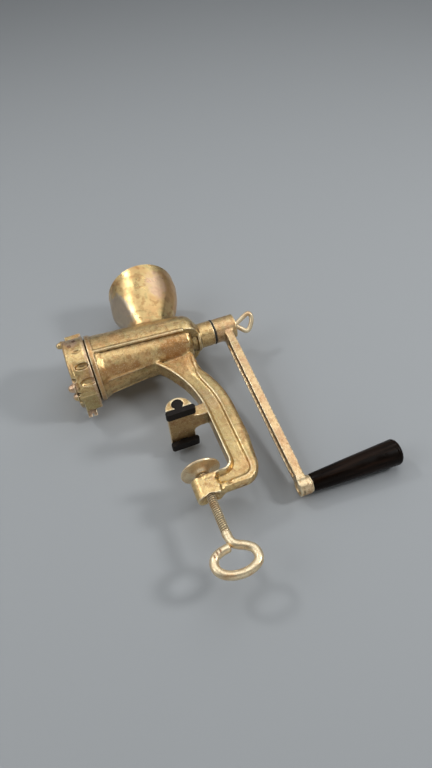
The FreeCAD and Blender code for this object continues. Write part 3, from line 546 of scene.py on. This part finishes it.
def plated_steel(name, colours, roots=None, marks=()):
    """Worn plating with small rust specks, edges painted bright as worn plating and painted highlight, and
    creases painted dark as dirt and painted shade.
    Where roots gives (from, to, above), dirt and painted shade darken the thread between those radii about Z
    and above that height. Each mark is a worn place: (centre, reach)."""
    finish = Finish(name)
    grain = finish.noise(1000, 4, 0.6)
    cloud = finish.noise(110, 4, 0.6)
    specks = finish.noise(330, 3, 0.7)
    base = finish.laid(colours.steel, colours.copper, cloud, 0.48, 0.70, 0.6)
    base = finish.laid(base, colours.tarnish, grain, 0.52, 0.72, 0.5)
    base = finish.laid(base, colours.rust, specks, 0.68, 0.73, 0.85)
    edges = finish.edges()
    # Convex edges painted bright: worn plating and painted highlight
    base = finish.laid(base, colours.bright, edges, 0.52, 0.60, 0.6)
    # Creases painted dark: dirt and painted shade
    base = finish.laid(base, colours.grime_and_shade, edges, 0.48, 0.40, 0.8)
    # Thread roots painted dark: dirt and painted shade
    if roots:
        deep = finish.span(finish.away((1, 1, 0)), roots[1] * MM, roots[0] * MM, 0, 0.7)
        above = finish.span(finish.along((0, 0, 1)), roots[2] * MM, (roots[2] + 1) * MM)
        base = finish.mix(finish.reckon("MULTIPLY", deep, above), base, colours.grime_and_shade)
    for mark in marks:
        base = finish.laid(base, colours.rust, finish.patch(*mark), 0.1, 0.5, 0.8)
    finish.bumps((cloud, 0.2, 0.3), (grain, 0.35, 0.15))
    return finish.done(base, finish.span(grain, 0.35, 0.65, 0.28, 0.46), 0.85)


def black_rubber(colours):
    finish = Finish("black_rubber_moulded")
    grain = finish.noise(1600, 3, 0.6)
    cloud = finish.noise(140, 3, 0.6)
    base = finish.laid(colours.rubber, (0.022, 0.017, 0.013), cloud, 0.45, 0.75, 0.5)
    finish.bumps((grain, 0.25, 0.12))
    finish.shader.inputs["Specular IOR Level"].default_value = 0.2
    return finish.done(base, finish.span(grain, 0.3, 0.7, 0.5, 0.7))


def pressed_fibre(colours):
    finish = Finish("fibre_pressed")
    grain = finish.noise(1500, 4, 0.7)
    base = finish.laid(colours.fibre, (0.05, 0.042, 0.035), grain, 0.4, 0.7)
    finish.bumps((grain, 0.3, 0.1))
    return finish.done(base, 0.7)


def dark_lacquer(colours):
    """Lacquered turned wood: long faint grain along the grip under a worn gloss."""
    finish = Finish("lacquer_turned")
    fibres = finish.noise(220, 4, 0.6, stretch=(0.06, 1, 1))
    cloud = finish.noise(60, 3, 0.6)
    scuffs = finish.noise(300, 5, 0.7, stretch=(0.3, 1, 1))
    base = finish.laid(colours.lacquer, (0.018, 0.008, 0.004), fibres, 0.45, 0.7, 0.8)
    base = finish.laid(base, (0.03, 0.019, 0.013), scuffs, 0.62, 0.75, 0.5)
    finish.bumps((fibres, 0.15, 0.15), (scuffs, 0.08, 0.1))
    finish.shader.inputs["Specular IOR Level"].default_value = 0.08
    return finish.done(base, finish.span(cloud, 0.35, 0.65, 0.24, 0.42))


def pale_floor(colours):
    """Plain paper floor, seen from its front alone so that no view from behind is blocked."""
    finish = Finish("floor_paper")
    tooth = finish.noise(900, 3, 0.6)
    finish.bumps((tooth, 0.05, 0.1))
    finish.done((*colours.floor, 1), 0.85)
    paper = finish.shader.outputs["BSDF"]
    clear = finish.node("BsdfTransparent").outputs["BSDF"]
    behind = finish.node("NewGeometry").outputs["Backfacing"]
    shadow = finish.node("LightPath").outputs["Is Shadow Ray"]
    hidden = finish.reckon("MAXIMUM", behind, shadow)
    choice = finish.node("MixShader", {"Fac": hidden, 1: paper, 2: clear})
    finish.feed(finish.tree.nodes["Material Output"].inputs["Surface"], choice.outputs["Shader"])
    return finish.material


def casing_ledges():
    """The raised rib that runs along both sides of the barrel under the upper casing."""
    return [rod("ledge", spot(-54, side * 29.6, 94), spot(33, side * 23.5, 94), 1.7 * MM) for side in (-1, 1)]


def outer_gap(x, z):
    """How far inside the leg's outer edge a place lies."""
    if z > LEG_BEND_BASE:
        return LEG_BEND - math.hypot(x - LEG_EDGE + LEG_BEND, z - LEG_BEND_BASE)
    if z > LEG_CORNER_HEIGHT:
        return LEG_EDGE - x
    if x > LEG_EDGE - LEG_CORNER:
        return LEG_CORNER - math.hypot(x - LEG_EDGE + LEG_CORNER, z - LEG_CORNER_HEIGHT)
    return z - LEG_CORNER_HEIGHT + LEG_CORNER


def inner_gap(x, z):
    """How far inside the leg's inner edge a place lies."""
    edge, bend, bend_base, corner, corner_height = 24.5, 107, 8, 8, -43.5
    if z > bend_base:
        return math.hypot(x - edge + bend, z - bend_base) - bend
    if z > corner_height:
        return x - edge
    if x > edge - corner:
        return math.hypot(x - edge + corner, z - corner_height) - corner
    return corner_height - corner - z


def ramp(value, start, end):
    """0 at the start, 1 at the end and straight between them."""
    return min(max((value - start) / (end - start), 0), 1)


def leg_shaped(piece):
    """Round the leg's outer rim and the lower boss, and slope the leg's inner bead down to a sunken web."""
    boss_side, foot_fade, base_fade = (7.5, 13), (64, 50), (-74, -72)
    swell_fade, trim_fade = (-50, -25), (-52, -60)
    rim_radius, rim_flat = 4.6, 0.4
    bead, bead_height, slope, web, crown = 1.5, 8, 2.0, 2.2, 0.1
    web_margin, swell, trim = 8.4, 3.2, 1.6
    boss_top, boss_flat, boss_round, boss_start, boss_end = -51, 0.6, 6.6, -3.5, -11.5
    for point in piece.data.vertices:
        x, y, z = point.co / MM
        if z < boss_top and x < boss_start:
            most = boss_flat + boss_round * math.sqrt(1 - ramp(x, boss_start, boss_end) ** 2)
            if abs(y) > most:
                point.co = spot(x, math.copysign(most, y), z)
            continue
        inner, outer = inner_gap(x, z), outer_gap(x, z)
        blend = ramp(x, *boss_side) * ramp(z, *foot_fade) * ramp(z, *base_fade)
        if blend == 0 or inner < -0.5 or outer < -2:
            continue
        most = bead_height
        if outer < rim_radius:
            inside = max(outer, 0)
            most = rim_flat + math.sqrt(rim_radius ** 2 - (rim_radius - inside) ** 2)
        elif outer > web_margin and inner > bead:
            most = max(bead_height - slope * (inner - bead), web + crown * inner)
        if abs(y) > most:
            y = math.copysign(abs(y) + (most - abs(y)) * blend, y)
        outward = Vector((max(x - LEG_EDGE + LEG_CORNER, 0), min(z - LEG_CORNER_HEIGHT, 0))).normalized()
        push = swell * ramp(z, *swell_fade) - trim * ramp(z, *trim_fade)
        outward *= push * blend * ramp(outer, rim_radius, 0)
        point.co = spot(x + outward.x, y, z + outward.y)


def leg_ridges():
    """A thin ridge beside the outer rim of the leg, from the barrel round the corner, on both faces."""
    inset, sunk, foot_lift, foot_rise, radius = 6.6, 3.8, 1.2, (50, 62), 1.7
    line = [(34, 75), (33.2, 66), (32.8, 57)]

    def follow(bend, height, angles):
        reach = bend - inset
        for turn in map(math.radians, angles):
            line.append((LEG_EDGE - bend + reach * math.cos(turn), height + reach * math.sin(turn)))

    follow(LEG_BEND, LEG_BEND_BASE, (22, 16, 10, 5, 0))
    line += [(LEG_EDGE - inset, -20), (LEG_EDGE - inset, LEG_CORNER_HEIGHT + 8)]
    follow(LEG_CORNER, LEG_CORNER_HEIGHT, (0, -22, -45, -68, -90))
    line.append((20, LEG_CORNER_HEIGHT - LEG_CORNER + inset))
    ridges = []
    for side in (-1, 1):
        places = [spot(x, side * (sunk + foot_lift * ramp(z, *foot_rise)), z) for x, z in line]
        ridges.append(bent_wire("leg_ridge", places, radius * MM))
    return ridges


def casing_roof():
    """The upper casing under the hopper, with the throat cut through it."""
    front, rear = -30, 34
    taper, flange, at_flange = 0.0623, -57.5, 31
    profile = [(front, at_flange - taper * (front - flange)), (rear, at_flange - taper * (rear - flange)),
               (rear, 20), (front, 24)]
    roof = turned("casing_roof", BARREL_CENTRE, profile, CAST_STEPS)
    carved(roof, slab("lower_half", spot(2, 0, 60), spot(90, 80, 92)))
    return carved(roof, slab("throat_hole", spot(6.6, 0, 125), spot(31.6, 21.6, 50)))


def flange_collar():
    """A sloping collar that leads from the flange down to the barrel."""
    profile = [(-57.3, 27), (-57.3, 31.6), (-56.5, 32), (-55, 31.8), (-53.5, 30.9), (-48, 29.2), (-48, 27)]
    return turned("flange_collar", BARREL_CENTRE, profile, CAST_STEPS)


def mould_lines():
    """The thin seams that the mould left along the barrel's lower side."""
    lines = []
    for angle, end in ((163.5, -2), (204, 8)):
        start = round_spot(-54, angle, 29.1)
        lines.append(rod("mould_line", start, round_spot(end, angle, 23.6 - 0.1 * end), 1.0 * MM))
    return lines


def hopper_flank(end, side):
    """A block whose face cuts one of the four flat flanks that lead from the throat up to the round rim."""
    foot_x, lean = (-5.2, -0.2) if end < 0 else (22.8, -0.43)
    foot_y, foot_height, depth, face = 18.5, 131, 60, 90
    facing = Vector((0.8 * end, 0.56 * side, lean)).normalized()
    middle = spot(foot_x, foot_y * side, foot_height) + facing * (depth / 2) * MM
    return slab("flank", middle, spot(depth, face, face), facing.to_track_quat("X", "Z").to_euler())


def hopper_shell(wall):
    """The hopper's funnel, from the squarish throat up to the round rim with its bead."""
    sections = [(122, 8.8, 23, 17.6, 2.5), (130, 9, 23.5, 19.4, 2.5), (136, 9.5, 25, 21, 2.5),
                (142, 9.8, 27.4, 22.6, 2.4), (148, 10.4, 30.2, 24.2, 2.3), (154, 10.8, 32.6, 25.9, 2.2),
                (161, 11.6, 34.6, 27.8, 2.1), (169, 13, 35.6, 30, 2), (178, 14.4, 36, 32.4, 2),
                (185, 15, 35.2, 34.2, 2), (188, 15.1, 35.2, 35, 2), (189, 15.1, 35.6, 35.6, 2),
                (190, 15.1, 34.9, 34.9, 2)]
    inside = []
    for height, middle, half_long, half_wide, squareness in sections:
        thick = wall * (1 + 0.7 * ramp(height, 178, 152))
        inside.append((height, middle, half_long - thick, half_wide - thick, 2))
    inside[0] = (120, 8, 17, 12, 2)
    inside[-1] = (193, *inside[-1][1:])
    outside = lofted("hopper_funnel", sections)
    for end, side in ((-1, -1), (-1, 1), (1, -1), (1, 1)):
        carved(outside, hopper_flank(end, side))
    return carved(outside, lofted("hopper_inside", inside))


class GRINDER_OT_body(Operator):
    """Melt the body, its ribs and its ridges into one casting"""
    bl_idname = "grinder.body"
    bl_label = "Body casting"

    def execute(self, context):
        sizes = context.scene.grinder_sizes
        colours = context.scene.grinder_finish
        body = copied("grinder_body", "body_solid")
        carved(body, slab("hopper_room", spot(2.5, 0, 159), spot(61, 84, 76)))
        carved(body, slab("rear_room", spot(45, 0, 165), spot(25, 84, 68)))
        carved(body, egg("screw_seat", spot(0, 0, -75.5), spot(9.5, 9.5, 9.5)))
        pieces = [body, casing_roof(), hopper_shell(sizes.hopper_wall / MM), flange_collar()]
        pieces += mould_lines() + casing_ledges() + leg_ridges()
        casting = cast(pieces, "body_casting", sizes.body_voxel, 4, sizes.cast_grain)
        leg_shaped(casting)
        softened(casting, lambda x, y, z: -74 < z < 64 and x > 12, 3)
        softened(casting, lambda x, y, z: 122 < z < 138 and -32 < x < 52, 24)
        softened(casting, lambda x, y, z: 138 <= z < 184, 9)
        softened(casting, lambda x, y, z: 62 < z < 86 and abs(y) < 20 and -12 < x < 46, 10)
        softened(casting, lambda x, y, z: -72 < z < -48 and x < 24, 5)
        thinned(casting, BODY_TRIANGLES)
        flank = ((1, 0, 0.276), 36.8, 35.6)
        stains = (
            ((20, -16, 82), (20, 20, 14), colours.tarnish, 0.9),
            ((-28, -18, 78), (40, 14, 5), colours.tarnish, 0.6),
            ((46, -10, 165), (16, 40, 40), colours.copper, 0.6),
            ((30, -30, 160), (16, 16, 26), colours.rose, 0.6),
            # Painted shade: the hopper's flat flank is painted greyer and darker
            ((-20, 0, 152), (30, 70, 32), colours.grey, 0.8, flank),
            ((-55, 0, AXIS_HEIGHT), (2.6, 70, 70), colours.copper, 0.8),
            ((-57.6, 0, AXIS_HEIGHT), (1.4, 60, 60), colours.rust, 0.9),
            ((28, -6, 22), (18, 14, 18), colours.rose, 0.3),
            ((33, -4, 12), (16, 12, 70), colours.olive, 0.5),
            # Painted shade: the jaw plate under the barrel is painted darker
            ((-5, 0, 4), (36, 40, 14), colours.tarnish, 0.5),
        )
        finish = tinned_iron("tinned_body", colours, stains, ((12, 0, 165), (75, 75, 62)))
        dressed(casting, finish, "frame", "tinned_iron", "grinder_body")
        return {"FINISHED"}


def nut_ring(front, rear):
    """The plain ring, threaded bore and front lip, with a low rim at each end."""
    lip = rear - 12.25
    profile = [(rear, 28.85), (rear, 32.3), (rear - 0.7, 33), (rear - 2.8, 33), (rear - 3.8, 32.5),
               (front + 4.4, 32.5), (front + 3.4, 33), (front + 2.2, 33), (front + 0.6, 32.2), (front, 30.8),
               (front, 25), (front + 1.5, 23.5), (lip, 23.5), (lip, 28.85)]
    return turned("nut_ring", BARREL_CENTRE, profile, NUT_STEPS)


def nut_horn(angle, radius, face, tip):
    """A round-ended horn that points forward from the ring nut's face."""
    reach = 29.6
    end = round_spot(tip + radius, angle, reach)
    shaft = rod("horn", round_spot(face + 4, angle, reach), end, radius * MM)
    flare = rod("horn_flare", round_spot(face + 1, angle, reach), round_spot(face - 2.5, angle, reach),
                (radius + 1.8) * MM, radius * 0.9 * MM)
    return [shaft, flare, egg("horn_tip", end, spot(radius, radius, radius))]


def nut_wing(side):
    """A square ear with a flat tangent face, at the ring's top or bottom."""
    ear = slab("ear", spot(-67.2, side * 8.2, AXIS_HEIGHT - side * 31.2), spot(15.4, 20.4, 4))
    heel = slab("ear_heel", spot(-67.2, side * 15.2, AXIS_HEIGHT - side * 29.9), spot(15.4, 6.4, 6.8))
    return [ear, heel]


class GRINDER_OT_ring_nut(Operator):
    """Melt the ring nut with its recesses, horns, ears and lug into one casting"""
    bl_idname = "grinder.ring_nut"
    bl_label = "Ring nut"

    def execute(self, context):
        sizes = context.scene.grinder_sizes
        colours = context.scene.grinder_finish
        low, high = (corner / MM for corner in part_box("ring_nut"))
        rear, face = high.x, high.x - 20
        ring = nut_ring(face, rear)
        for half_turn in (0, 180):
            for angle, along, radii in ((97, -67, (4.8, 2, 1.9)), (124.5, -66.6, (6.4, 3.4, 3.6)),
                                        (151.5, -64.6, (7.6, 4, 3.4)), (143, face, (4, 2.4, 3.6)),
                                        (168, face, (4.4, 2.2, 3.2)), (187, face, (4, 2.4, 3.6))):
                turn = angle + half_turn
                carved(ring, egg("recess", round_spot(along, turn, 33), spot(*radii), math.radians(turn)))
        pieces = [ring] + nut_wing(-1) + nut_wing(1)
        for angle, radius, tip in ((40, 3, low.x), (157, 3.8, face - 5.4), (177, 3.1, face - 3.6)):
            pieces += nut_horn(angle, radius, face, tip)
        lug_place, lug_angle = -70.6, 220
        lug_turn = (math.radians(lug_angle), 0, 0)
        lug = slab("side_lug", round_spot(lug_place, lug_angle, 37), spot(9, 7.4, 13), lug_turn)
        notch = slab("lug_notch", round_spot(lug_place, lug_angle, 43.5), spot(1.8, 9, 6), lug_turn)
        pieces.append(carved(lug, notch))
        casting = cast(pieces, "ring_nut_casting", sizes.nut_voxel, 3, sizes.cast_grain)
        stains = (
            ((-70, -31, 112), (8, 9, 9), colours.rose, 0.6),
            ((-67, -30, 114), (2.6, 3.4, 3.4), colours.rust, 0.9),
            ((-72, -32, 107), (2.6, 3.4, 3.4), colours.rust, 0.8),
            ((-70, 26, 70), (8, 9, 12), colours.rose, 0.8),
            ((-80, -10, 74), (6, 14, 8), colours.rose, 0.7),
            # Painted shade: the lower ear is painted a darker olive
            ((-68, 8, 69), (14, 16, 8), colours.olive, 0.7),
            ((-60, 0, AXIS_HEIGHT), (2.4, 70, 70), colours.rose, 0.5),
            ((-57.8, 0, AXIS_HEIGHT), (1.6, 60, 60), colours.rust, 0.9),
        )
        finish = tinned_iron("tinned_nut", colours, stains)
        dressed(casting, finish, "nut", "tinned_iron", "ring_nut")
        return {"FINISHED"}


class GRINDER_OT_pads(Operator):
    """Mould both rubber pads of the jaw"""
    bl_idname = "grinder.pads"
    bl_label = "Jaw pads"

    def execute(self, context):
        voxel = context.scene.grinder_sizes.small_voxel
        finish = black_rubber(context.scene.grinder_finish)
        for node in ("pad_front", "pad_rear"):
            pad = cast([copied(node, node + "_solid")], node + "_rubber", voxel, 3)
            dressed(pad, finish, "frame", "black_rubber", node)
        return {"FINISHED"}


class GRINDER_OT_pressure_plate(Operator):
    """Turn the dished disc that presses the table from below"""
    bl_idname = "grinder.pressure_plate"
    bl_label = "Pressure plate"

    def execute(self, context):
        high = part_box("pressure_plate")[1] / MM
        rim, top = high.x, high.z
        profile = [(top - 0.7, 0), (top - 0.5, rim - 5), (top, rim - 2), (top - 0.2, rim - 0.4),
                   (top - 1.2, rim), (top - 2.2, rim - 0.5), (top - 2.4, rim - 2.5), (top - 3, 10),
                   (top - 4, 7.4), (top - 5.6, 6), (top - 5.6, 3.95), (top - 1.6, 3.85), (top - 1.6, 0)]
        disc = turned("pressure_disc", Vector(), profile, context.scene.grinder_sizes.turning_steps,
                      Vector((0, 0, 1)), Vector((1, 0, 0)), 0.3)
        finish = plated_steel("plated_disc", context.scene.grinder_finish)
        dressed(disc, finish, "press", "steel", "pressure_plate")
        return {"FINISHED"}


def threaded_rod(name, low, high, crest, depth, pitch, plain_from):
    """A rod with a right-hand thread cut down to plain_from, in metres."""
    sides, rings_per_turn = 40, 10
    deselect()
    bpy.ops.mesh.primitive_cylinder_add(vertices=sides, radius=crest, depth=high - low,
                                        location=(0, 0, (high + low) / 2))
    piece = settled(name)
    for cuts in (int((high - low) / pitch), rings_per_turn - 1):
        mode("EDIT")
        bpy.ops.mesh.select_mode(type="EDGE")
        bpy.ops.mesh.select_all(action="DESELECT")
        mode("OBJECT")
        points = piece.data.vertices
        for edge in piece.data.edges:
            first, second = (points[index].co.z for index in edge.vertices)
            edge.select = abs(first - second) > pitch / 2
        mode("EDIT")
        bpy.ops.mesh.subdivide(number_cuts=cuts)
        mode("OBJECT")
    for point in piece.data.vertices:
        angle = math.atan2(point.co.y, point.co.x) / (2 * math.pi)
        tooth = 2 * abs((point.co.z / pitch - angle) % 1 - 0.5)
        fade = min(max((point.co.z - plain_from) / pitch, 0), 1)
        reach = Vector((point.co.x, point.co.y, 0))
        if reach.length > crest / 2:
            point.co -= reach.normalized() * depth * tooth * fade
    return piece


def eye_line(neck):
    """Control places of the bent eye: down the neck, off to one side, round and back under the neck."""
    line = [(0, neck), (0.4, neck - 5), (3, neck - 9.5), (11, -116), (16.6, -121.5), (16, -130.5),
            (5, -135.5), (-9, -134), (-17.5, -127), (-16.6, -117.5), (-9, -113.6), (-2.6, -113.2)]
    return [spot(x, 0, z) for x, z in line]


class GRINDER_OT_clamp_screw(Operator):
    """Thread the clamp screw and bend its eye"""
    bl_idname = "grinder.clamp_screw"
    bl_label = "Clamp screw"

    def execute(self, context):
        sizes = context.scene.grinder_sizes
        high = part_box("clamp_screw")[1] / MM
        neck, crest = -103.0, 3.85
        threaded = threaded_rod("screw_rod", (neck - 1) * MM, high.z * MM, crest * MM, sizes.thread_depth,
                                sizes.thread_pitch, (neck + 1) * MM)
        line = eye_line(neck)
        eye = bent_wire("screw_eye", line, sizes.eye_wire)
        tip = egg("eye_end", line[-1], spot(2, 3.55, 3.55))
        screw = joined([threaded, eye, tip], "clamp_screw_bent")
        worn_places = ((-15, -2.5, -117), (-12.2, -2.8, -115.4), (-9.4, -2.8, -114.4))
        marks = [(place, (1.1, 4, 2.4)) for place in worn_places]
        finish = plated_steel("plated_screw", context.scene.grinder_finish, (3.0, 3.7, neck), marks)
        dressed(screw, finish, "screw", "steel", "clamp_screw")
        return {"FINISHED"}


class GRINDER_OT_crank_arm(Operator):
    """Melt the crank arm into one casting with soft edges"""
    bl_idname = "grinder.crank_arm"
    bl_label = "Crank arm"

    def execute(self, context):
        sizes = context.scene.grinder_sizes
        arm = copied("crank_arm", "arm_solid")
        casting = cast([arm], "crank_casting", sizes.arm_voxel, 4, sizes.cast_grain)
        softened(casting, lambda x, y, z: 78 < z < 94, 14)
        softened(casting, lambda x, y, z: -70 < z < -58, 10)
        colours = context.scene.grinder_finish
        across = (0, 0.99255, 0.12187)
        channel = ((across, 6.6, 8), (across, 18.2, 16.8), ((1, 0, 0), 75, 75.6))
        stains = (
            ((74, 8, 0), (30, 40, 190), colours.rose, 0.3),
            # Painted highlight on the end boss
            ((75, 14, -79), (12, 12, 14), colours.bright, 0.4),
            # Painted shade: the channel on the arm's side is painted dark
            ((74, 10, 0), (4, 60, 260), colours.grime_and_shade, 0.85, *channel),
        )
        finish = tinned_iron("tinned_crank", colours, stains)
        dressed(casting, finish, "crank", "tinned_iron", "crank_arm")
        return {"FINISHED"}


class GRINDER_OT_thumbscrew(Operator):
    """Bend the thumbscrew's loop from wire"""
    bl_idname = "grinder.thumbscrew"
    bl_label = "Thumbscrew"

    def execute(self, context):
        sizes = context.scene.grinder_sizes
        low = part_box("thumbscrew")[0] / MM
        hub_face = 87.2
        turn = math.radians(46)
        side = Vector((0, math.sin(turn), -math.cos(turn)))
        bends = [(-1, -0.8), (2.5, -1), (8.6, -4.2), (18, -9), (20.6, -2.6), (15.4, 7), (11, 9.6), (5.2, 3.8),
                 (2.2, 1.2), (-1, 0.8)]
        line = [(BARREL_CENTRE + Vector((hub_face + rise, 0, 0)) + side * out) * MM for rise, out in bends]
        loop = bent_wire("thumb_loop", line, sizes.thumb_wire)
        profile = [(hub_face, 0), (hub_face, 4.6), (hub_face + 1.8, 4.4), (hub_face + 2.6, 0)]
        collar = turned("thumb_collar", BARREL_CENTRE, profile, COLLAR_STEPS, edge=0.4)
        shank = rod("thumb_shank", spot(low.x, 0, AXIS_HEIGHT), spot(hub_face + 1, 0, AXIS_HEIGHT), 3 * MM)
        screw = joined([loop, collar, shank], "thumbscrew_wire")
        finish = plated_steel("plated_thumbscrew", context.scene.grinder_finish)
        dressed(screw, finish, "thumb", "steel", "thumbscrew")
        return {"FINISHED"}


class GRINDER_OT_grip(Operator):
    """Turn the tapered grip"""
    bl_idname = "grinder.grip"
    bl_label = "Grip"

    def execute(self, context):
        low, high = (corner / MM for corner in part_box("handle_grip"))
        start, end = low.x, high.x
        near, far, edge = 7.8, (high.z - low.z) / 2, 4
        profile = [(start, 4.1), (start, near - 0.9), (start + 1.2, near), (start + 30, near + 1.6)]
        profile += [(end - 5.2, far - 0.1), (end - 4.7, far - 0.45), (end - 4.2, far - 0.05)]
        for angle in range(10, 91, 16):
            turn = math.radians(angle)
            profile.append((end - edge + edge * math.sin(turn), far - edge + edge * math.cos(turn)))
        profile += [(end - 0.4, 7.5), (end - edge, 7.4), (end - edge, 4.1)]
        grip = turned("grip_wood", GRIP_CENTRE, profile, context.scene.grinder_sizes.turning_steps)
        changed(grip, "BEVEL", width=0.25 * MM, segments=2, limit_method="ANGLE",
                angle_limit=math.radians(35))
        dressed(grip, dark_lacquer(context.scene.grinder_finish), "grip", "dark_wood", "handle_grip")
        return {"FINISHED"}


class GRINDER_OT_spindle(Operator):
    """Turn the riveted spindle and the washer that the grip runs on"""
    bl_idname = "grinder.spindle"
    bl_label = "Spindle and washer"

    def execute(self, context):
        steps = context.scene.grinder_sizes.turning_steps
        colours = context.scene.grinder_finish
        low, high = (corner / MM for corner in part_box("handle_spindle"))
        start, end = low.x, high.x
        spindle = turned("spindle_pin", GRIP_CENTRE, [
            (start, 0), (start + 0.1, 2), (start + 0.5, 4.2), (start + 1, 5), (start + 1, 4), (end - 2.4, 4),
            (end - 2.4, 6.4), (end - 1, 6.2), (end - 0.2, 4), (end, 0)], steps, edge=0.15)
        dressed(spindle, plated_steel("plated_spindle", colours), "crank", "steel", "handle_spindle")
        low, high = (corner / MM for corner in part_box("grip_washer"))
        outer = (high.z - low.z) / 2
        washer = turned("grip_washer_ring", GRIP_CENTRE, [
            (low.x, 4), (low.x, outer), (high.x, outer), (high.x, 4)], steps, edge=0.25)
        dressed(washer, plated_steel("plated_washer", colours), "crank", "steel", "grip_washer")
        return {"FINISHED"}


class GRINDER_OT_inner_pieces(Operator):
    """Finish the feed screw, knife, plate, key and thrust washer where they are"""
    bl_idname = "grinder.inner_pieces"
    bl_label = "Inner pieces"

    def execute(self, context):
        colours = context.scene.grinder_finish
        steel = plated_steel("plated_cutting", colours)
        finishes = {
            "feed_screw": tinned_iron("tinned_feed", colours),
            "thrust_washer": pressed_fibre(colours),
        }
        for node in ("feed_screw", "thrust_washer", "knife", "knife_stud", "grinding_plate", "plate_key"):
            mesh = NODES[node].data
            mesh.materials.clear()
            mesh.materials.append(finishes.get(node, steel))
        return {"FINISHED"}


def studio_sky(stage):
    """Even light that is brighter overhead, beyond the hopper and low on the camera's side and the left."""
    world = bpy.data.worlds.new("studio")
    world.use_nodes = True
    nodes = Nodes(world.node_tree)
    sky = nodes.tree.nodes["Background"]
    sky.inputs["Color"].default_value = (0.96, 0.98, 1.0, 1)
    way = nodes.node("TexCoord").outputs["Generated"]
    split = nodes.node("SeparateXYZ", {"Vector": way})

    def faded(axis, start, end, strength):
        return nodes.span(split.outputs[axis], start, end, strength, 0, "LINEAR")

    sides = nodes.reckon("ADD", faded("Z", -1, -0.6, stage.front), faded("X", -1, -0.7, stage.left))
    above = nodes.reckon("MULTIPLY", sides, faded("Y", -0.05, 0.05, 1))
    raised = nodes.reckon("MULTIPLY", faded("Z", 0.5, 0.15, stage.beyond), faded("Y", -0.35, -0.05, 1))
    even = nodes.reckon("ADD", faded("Y", -1, 0, stage.ceiling), stage.horizon)
    nodes.feed(sky.inputs["Strength"], nodes.reckon("ADD", nodes.reckon("ADD", above, raised), even))
    return world


def soft_lamp(name, place, aim, size, energy):
    """A round lamp that faces an aim."""
    lamp = bpy.data.lights.new(name, "AREA")
    lamp.shape = "DISK"
    lamp.size = size
    lamp.energy = energy
    item = placed(name, lamp)
    item.location = place
    item.rotation_euler = (aim - place).to_track_quat("-Z", "Y").to_euler()


class GRINDER_OT_stage(Operator):
    """Lay the pale floor against the side that the grinder lies on, and set lamps and camera"""
    bl_idname = "grinder.stage"
    bl_label = "Stage"

    def execute(self, context):
        scene = context.scene
        stage = scene.grinder_stage
        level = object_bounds()[1][1] + FLOOR_GAP * MM
        deselect()
        bpy.ops.mesh.primitive_plane_add(size=FLOOR_SIZE, location=(0, level, 0),
                                         rotation=(math.pi / 2, 0, 0))
        floor = settled("floor")
        floor.data.materials.append(pale_floor(scene.grinder_finish))
        floor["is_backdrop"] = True
        aim = Vector((0.03, 0, 0.02))
        for name, offset, size in LAMPS:
            soft_lamp(name + "_lamp", aim + Vector(offset), aim, size, getattr(stage, name + "_power"))
        scene.world = studio_sky(stage)
        lens = bpy.data.cameras.new("photo_camera")
        lens.sensor_fit = "VERTICAL"
        lens.sensor_height = 36
        lens.lens = stage.camera_lens
        lens.clip_start = 0.01
        camera = placed("photo_camera", lens)
        camera.location = stage.camera_place
        camera.rotation_euler = stage.camera_turn
        scene.camera = camera
        scene.view_settings.view_transform = "Standard"
        return {"FINISHED"}


class GRINDER_PT_panel(Panel):
    bl_idname = "GRINDER_PT_panel"
    bl_label = "Meat grinder"
    bl_space_type = "VIEW_3D"
    bl_region_type = "UI"
    bl_category = "Grinder"

    def draw(self, context):
        for operator in STEPS:
            self.layout.operator(operator.bl_idname)
        for name in GROUPS:
            group = getattr(context.scene, name)
            box = self.layout.box()
            for key in group.bl_rna.properties.keys():
                if key not in ("rna_type", "name"):
                    box.prop(group, key)


STEPS = (
    GRINDER_OT_body, GRINDER_OT_ring_nut, GRINDER_OT_pads, GRINDER_OT_pressure_plate,
    GRINDER_OT_clamp_screw, GRINDER_OT_crank_arm, GRINDER_OT_thumbscrew, GRINDER_OT_grip,
    GRINDER_OT_spindle, GRINDER_OT_inner_pieces, GRINDER_OT_stage,
)
GROUPS = {"grinder_sizes": GrinderSizes, "grinder_finish": GrinderFinish, "grinder_stage": GrinderStage}
CLASSES = (*GROUPS.values(), *STEPS, GRINDER_PT_panel)


def register():
    for item in CLASSES:
        bpy.utils.register_class(item)
    for name, group in GROUPS.items():
        setattr(bpy.types.Scene, name, PointerProperty(type=group))


def unregister():
    for name in GROUPS:
        delattr(bpy.types.Scene, name)
    for item in reversed(CLASSES):
        bpy.utils.unregister_class(item)


def main():
    register()
    for step in STEPS:
        group, name = step.bl_idname.split(".")
        getattr(getattr(bpy.ops, group), name)()


if __name__ == "__main__":
    main()
